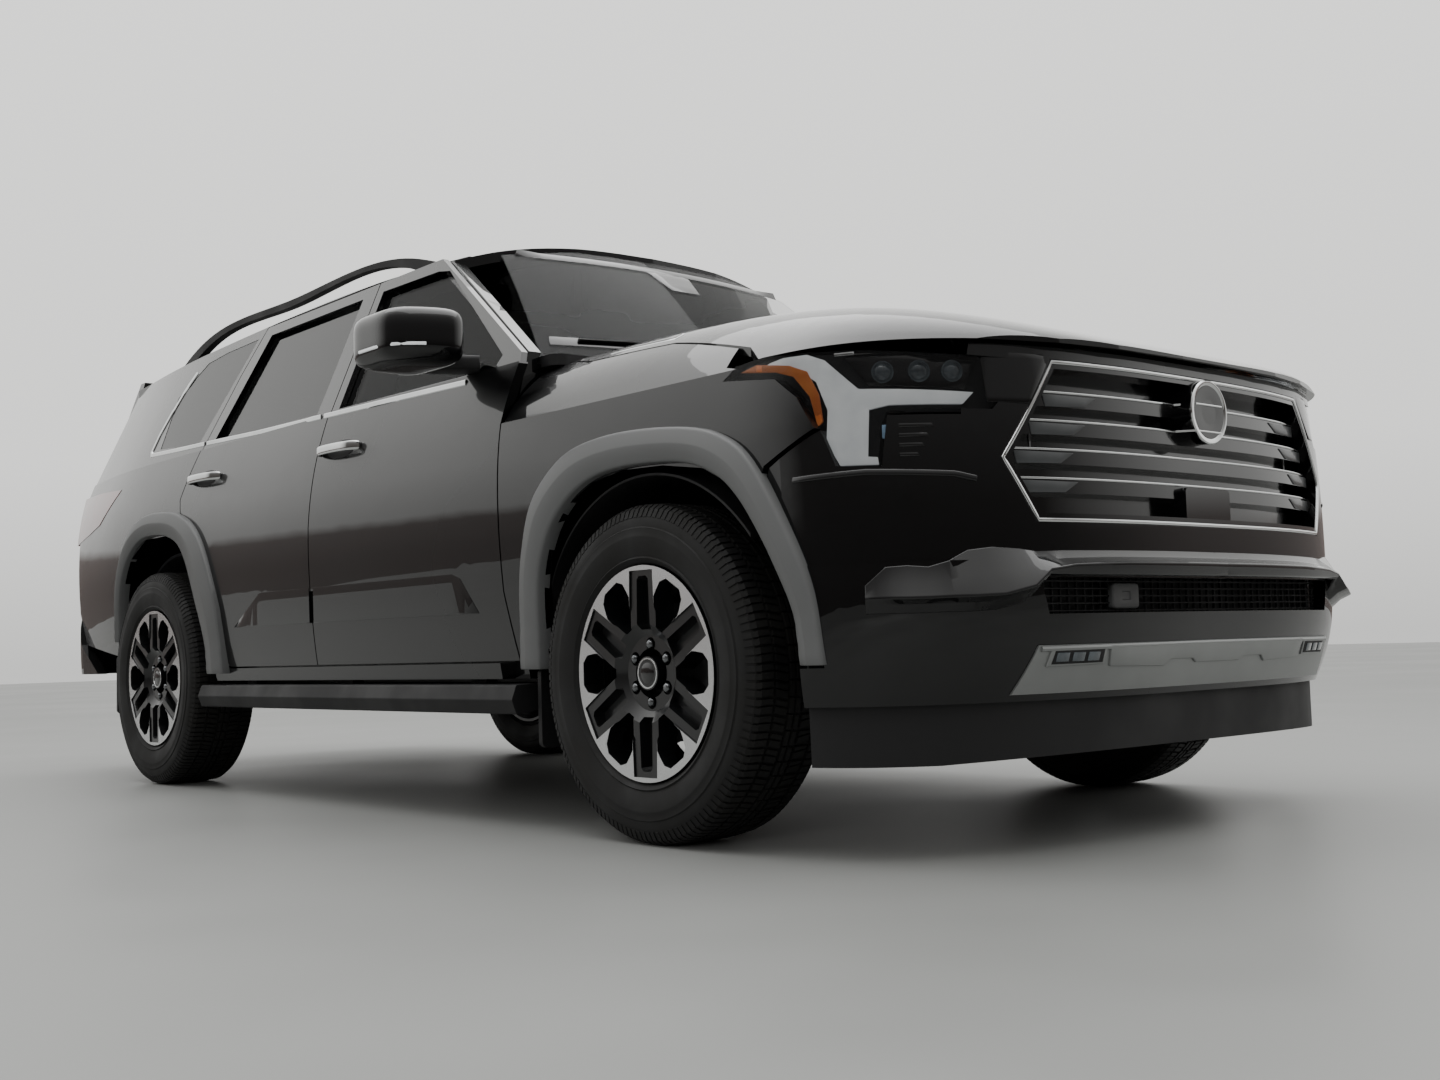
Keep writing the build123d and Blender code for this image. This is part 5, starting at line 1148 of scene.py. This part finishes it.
# ------------------------------------------------------------------ floor and light
# Ground and polished concrete: pale grey with wide cloudy patches and a soft reflection.
concrete = finish("polished_concrete", ("#868785", "#8f908e"), (0.42, 0.55), 1800.0, 30.0, 0.1)
HALF_FLOOR = 40
floor_mesh = bpy.data.meshes.new("floor")
floor_mesh.from_pydata([(a * HALF_FLOOR, b * HALF_FLOOR, 0)
                        for a, b in ((-1, -1), (1, -1), (1, 1), (-1, 1))], [], [(0, 1, 2, 3)])
floor_mesh.materials.append(concrete)
show("floor", floor_mesh)

world = bpy.data.worlds.new("studio")
bpy.context.scene.world = world
world.use_nodes = True
air = world.node_tree
air.nodes.clear()
towards = put(air, "ShaderNodeTexCoord").outputs["Generated"]
height = put(air, "ShaderNodeSeparateXYZ", {"Vector": towards}).outputs["Z"]
DIM_END = (-0.66, -0.75, 0.0)
across = put(air, "ShaderNodeVectorMath", {0: towards, 1: DIM_END},
             operation="DOT_PRODUCT").outputs["Value"]


def wall(*stops):
    """Colours of the room from the floor to the ceiling."""
    ramp = put(air, "ShaderNodeValToRGB", {"Fac": height})
    for at, text in stops:
        ramp.color_ramp.elements.new(at).color = linear(text)
    ramp.color_ramp.elements.remove(ramp.color_ramp.elements[0])
    return ramp.outputs["Color"]


# Reflections show a lit and a dim end of the room, and the camera sees plain pale walls.
lit = wall((0.02, "#5a524f"), (0.07, "#675e5b"), (0.09, "#c4c4c2"), (0.2, "#dededc"), (0.6, "#f2f2f0"))
dim = wall((0.02, "#3a3735"), (0.12, "#4a4745"), (0.3, "#6d6c6b"), (0.6, "#8f8e8d"), (0.95, "#f0f0ee"))
plain = wall((0.0, "#b9b9b7"), (0.12, "#dcdcda"), (0.5, "#f2f2f0"))
turn_away = put(air, "ShaderNodeMapRange", {"Value": across, "From Min": -0.15, "From Max": 0.35})
room = put(air, "ShaderNodeMix", {"Factor": turn_away.outputs[0], 6: lit, 7: dim}, data_type="RGBA")
seen = put(air, "ShaderNodeLightPath").outputs["Is Camera Ray"]
shown = put(air, "ShaderNodeMix", {"Factor": seen, 6: room.outputs[2], 7: plain}, data_type="RGBA")
sky = put(air, "ShaderNodeBackground", {"Color": shown.outputs[2], "Strength": 1.7})
put(air, "ShaderNodeOutputWorld", {"Surface": sky.outputs[0]})


def soft_light(name, place, aim, size, watts, mirrored=True):
    """Rectangular area light; mirrored says whether polished surfaces show it."""
    data = bpy.data.lights.new(name, "AREA")
    data.shape = "RECTANGLE"
    data.size, data.size_y = size
    data.energy = watts
    made = show(name, data)
    made.location = place
    made.rotation_euler = (Vector(aim) - Vector(place)).to_track_quat("-Z", "Y").to_euler()
    made.visible_glossy = mirrored


soft_light("ceiling", (0.0, -0.5, 5.6), (0.0, -0.3, 0.0), (6.5, 7.5), 260.0)
soft_light("front_right", (-6.5, -6.0, 2.6), (-0.8, -1.3, 0.6), (4.0, 2.4), 150.0, False)
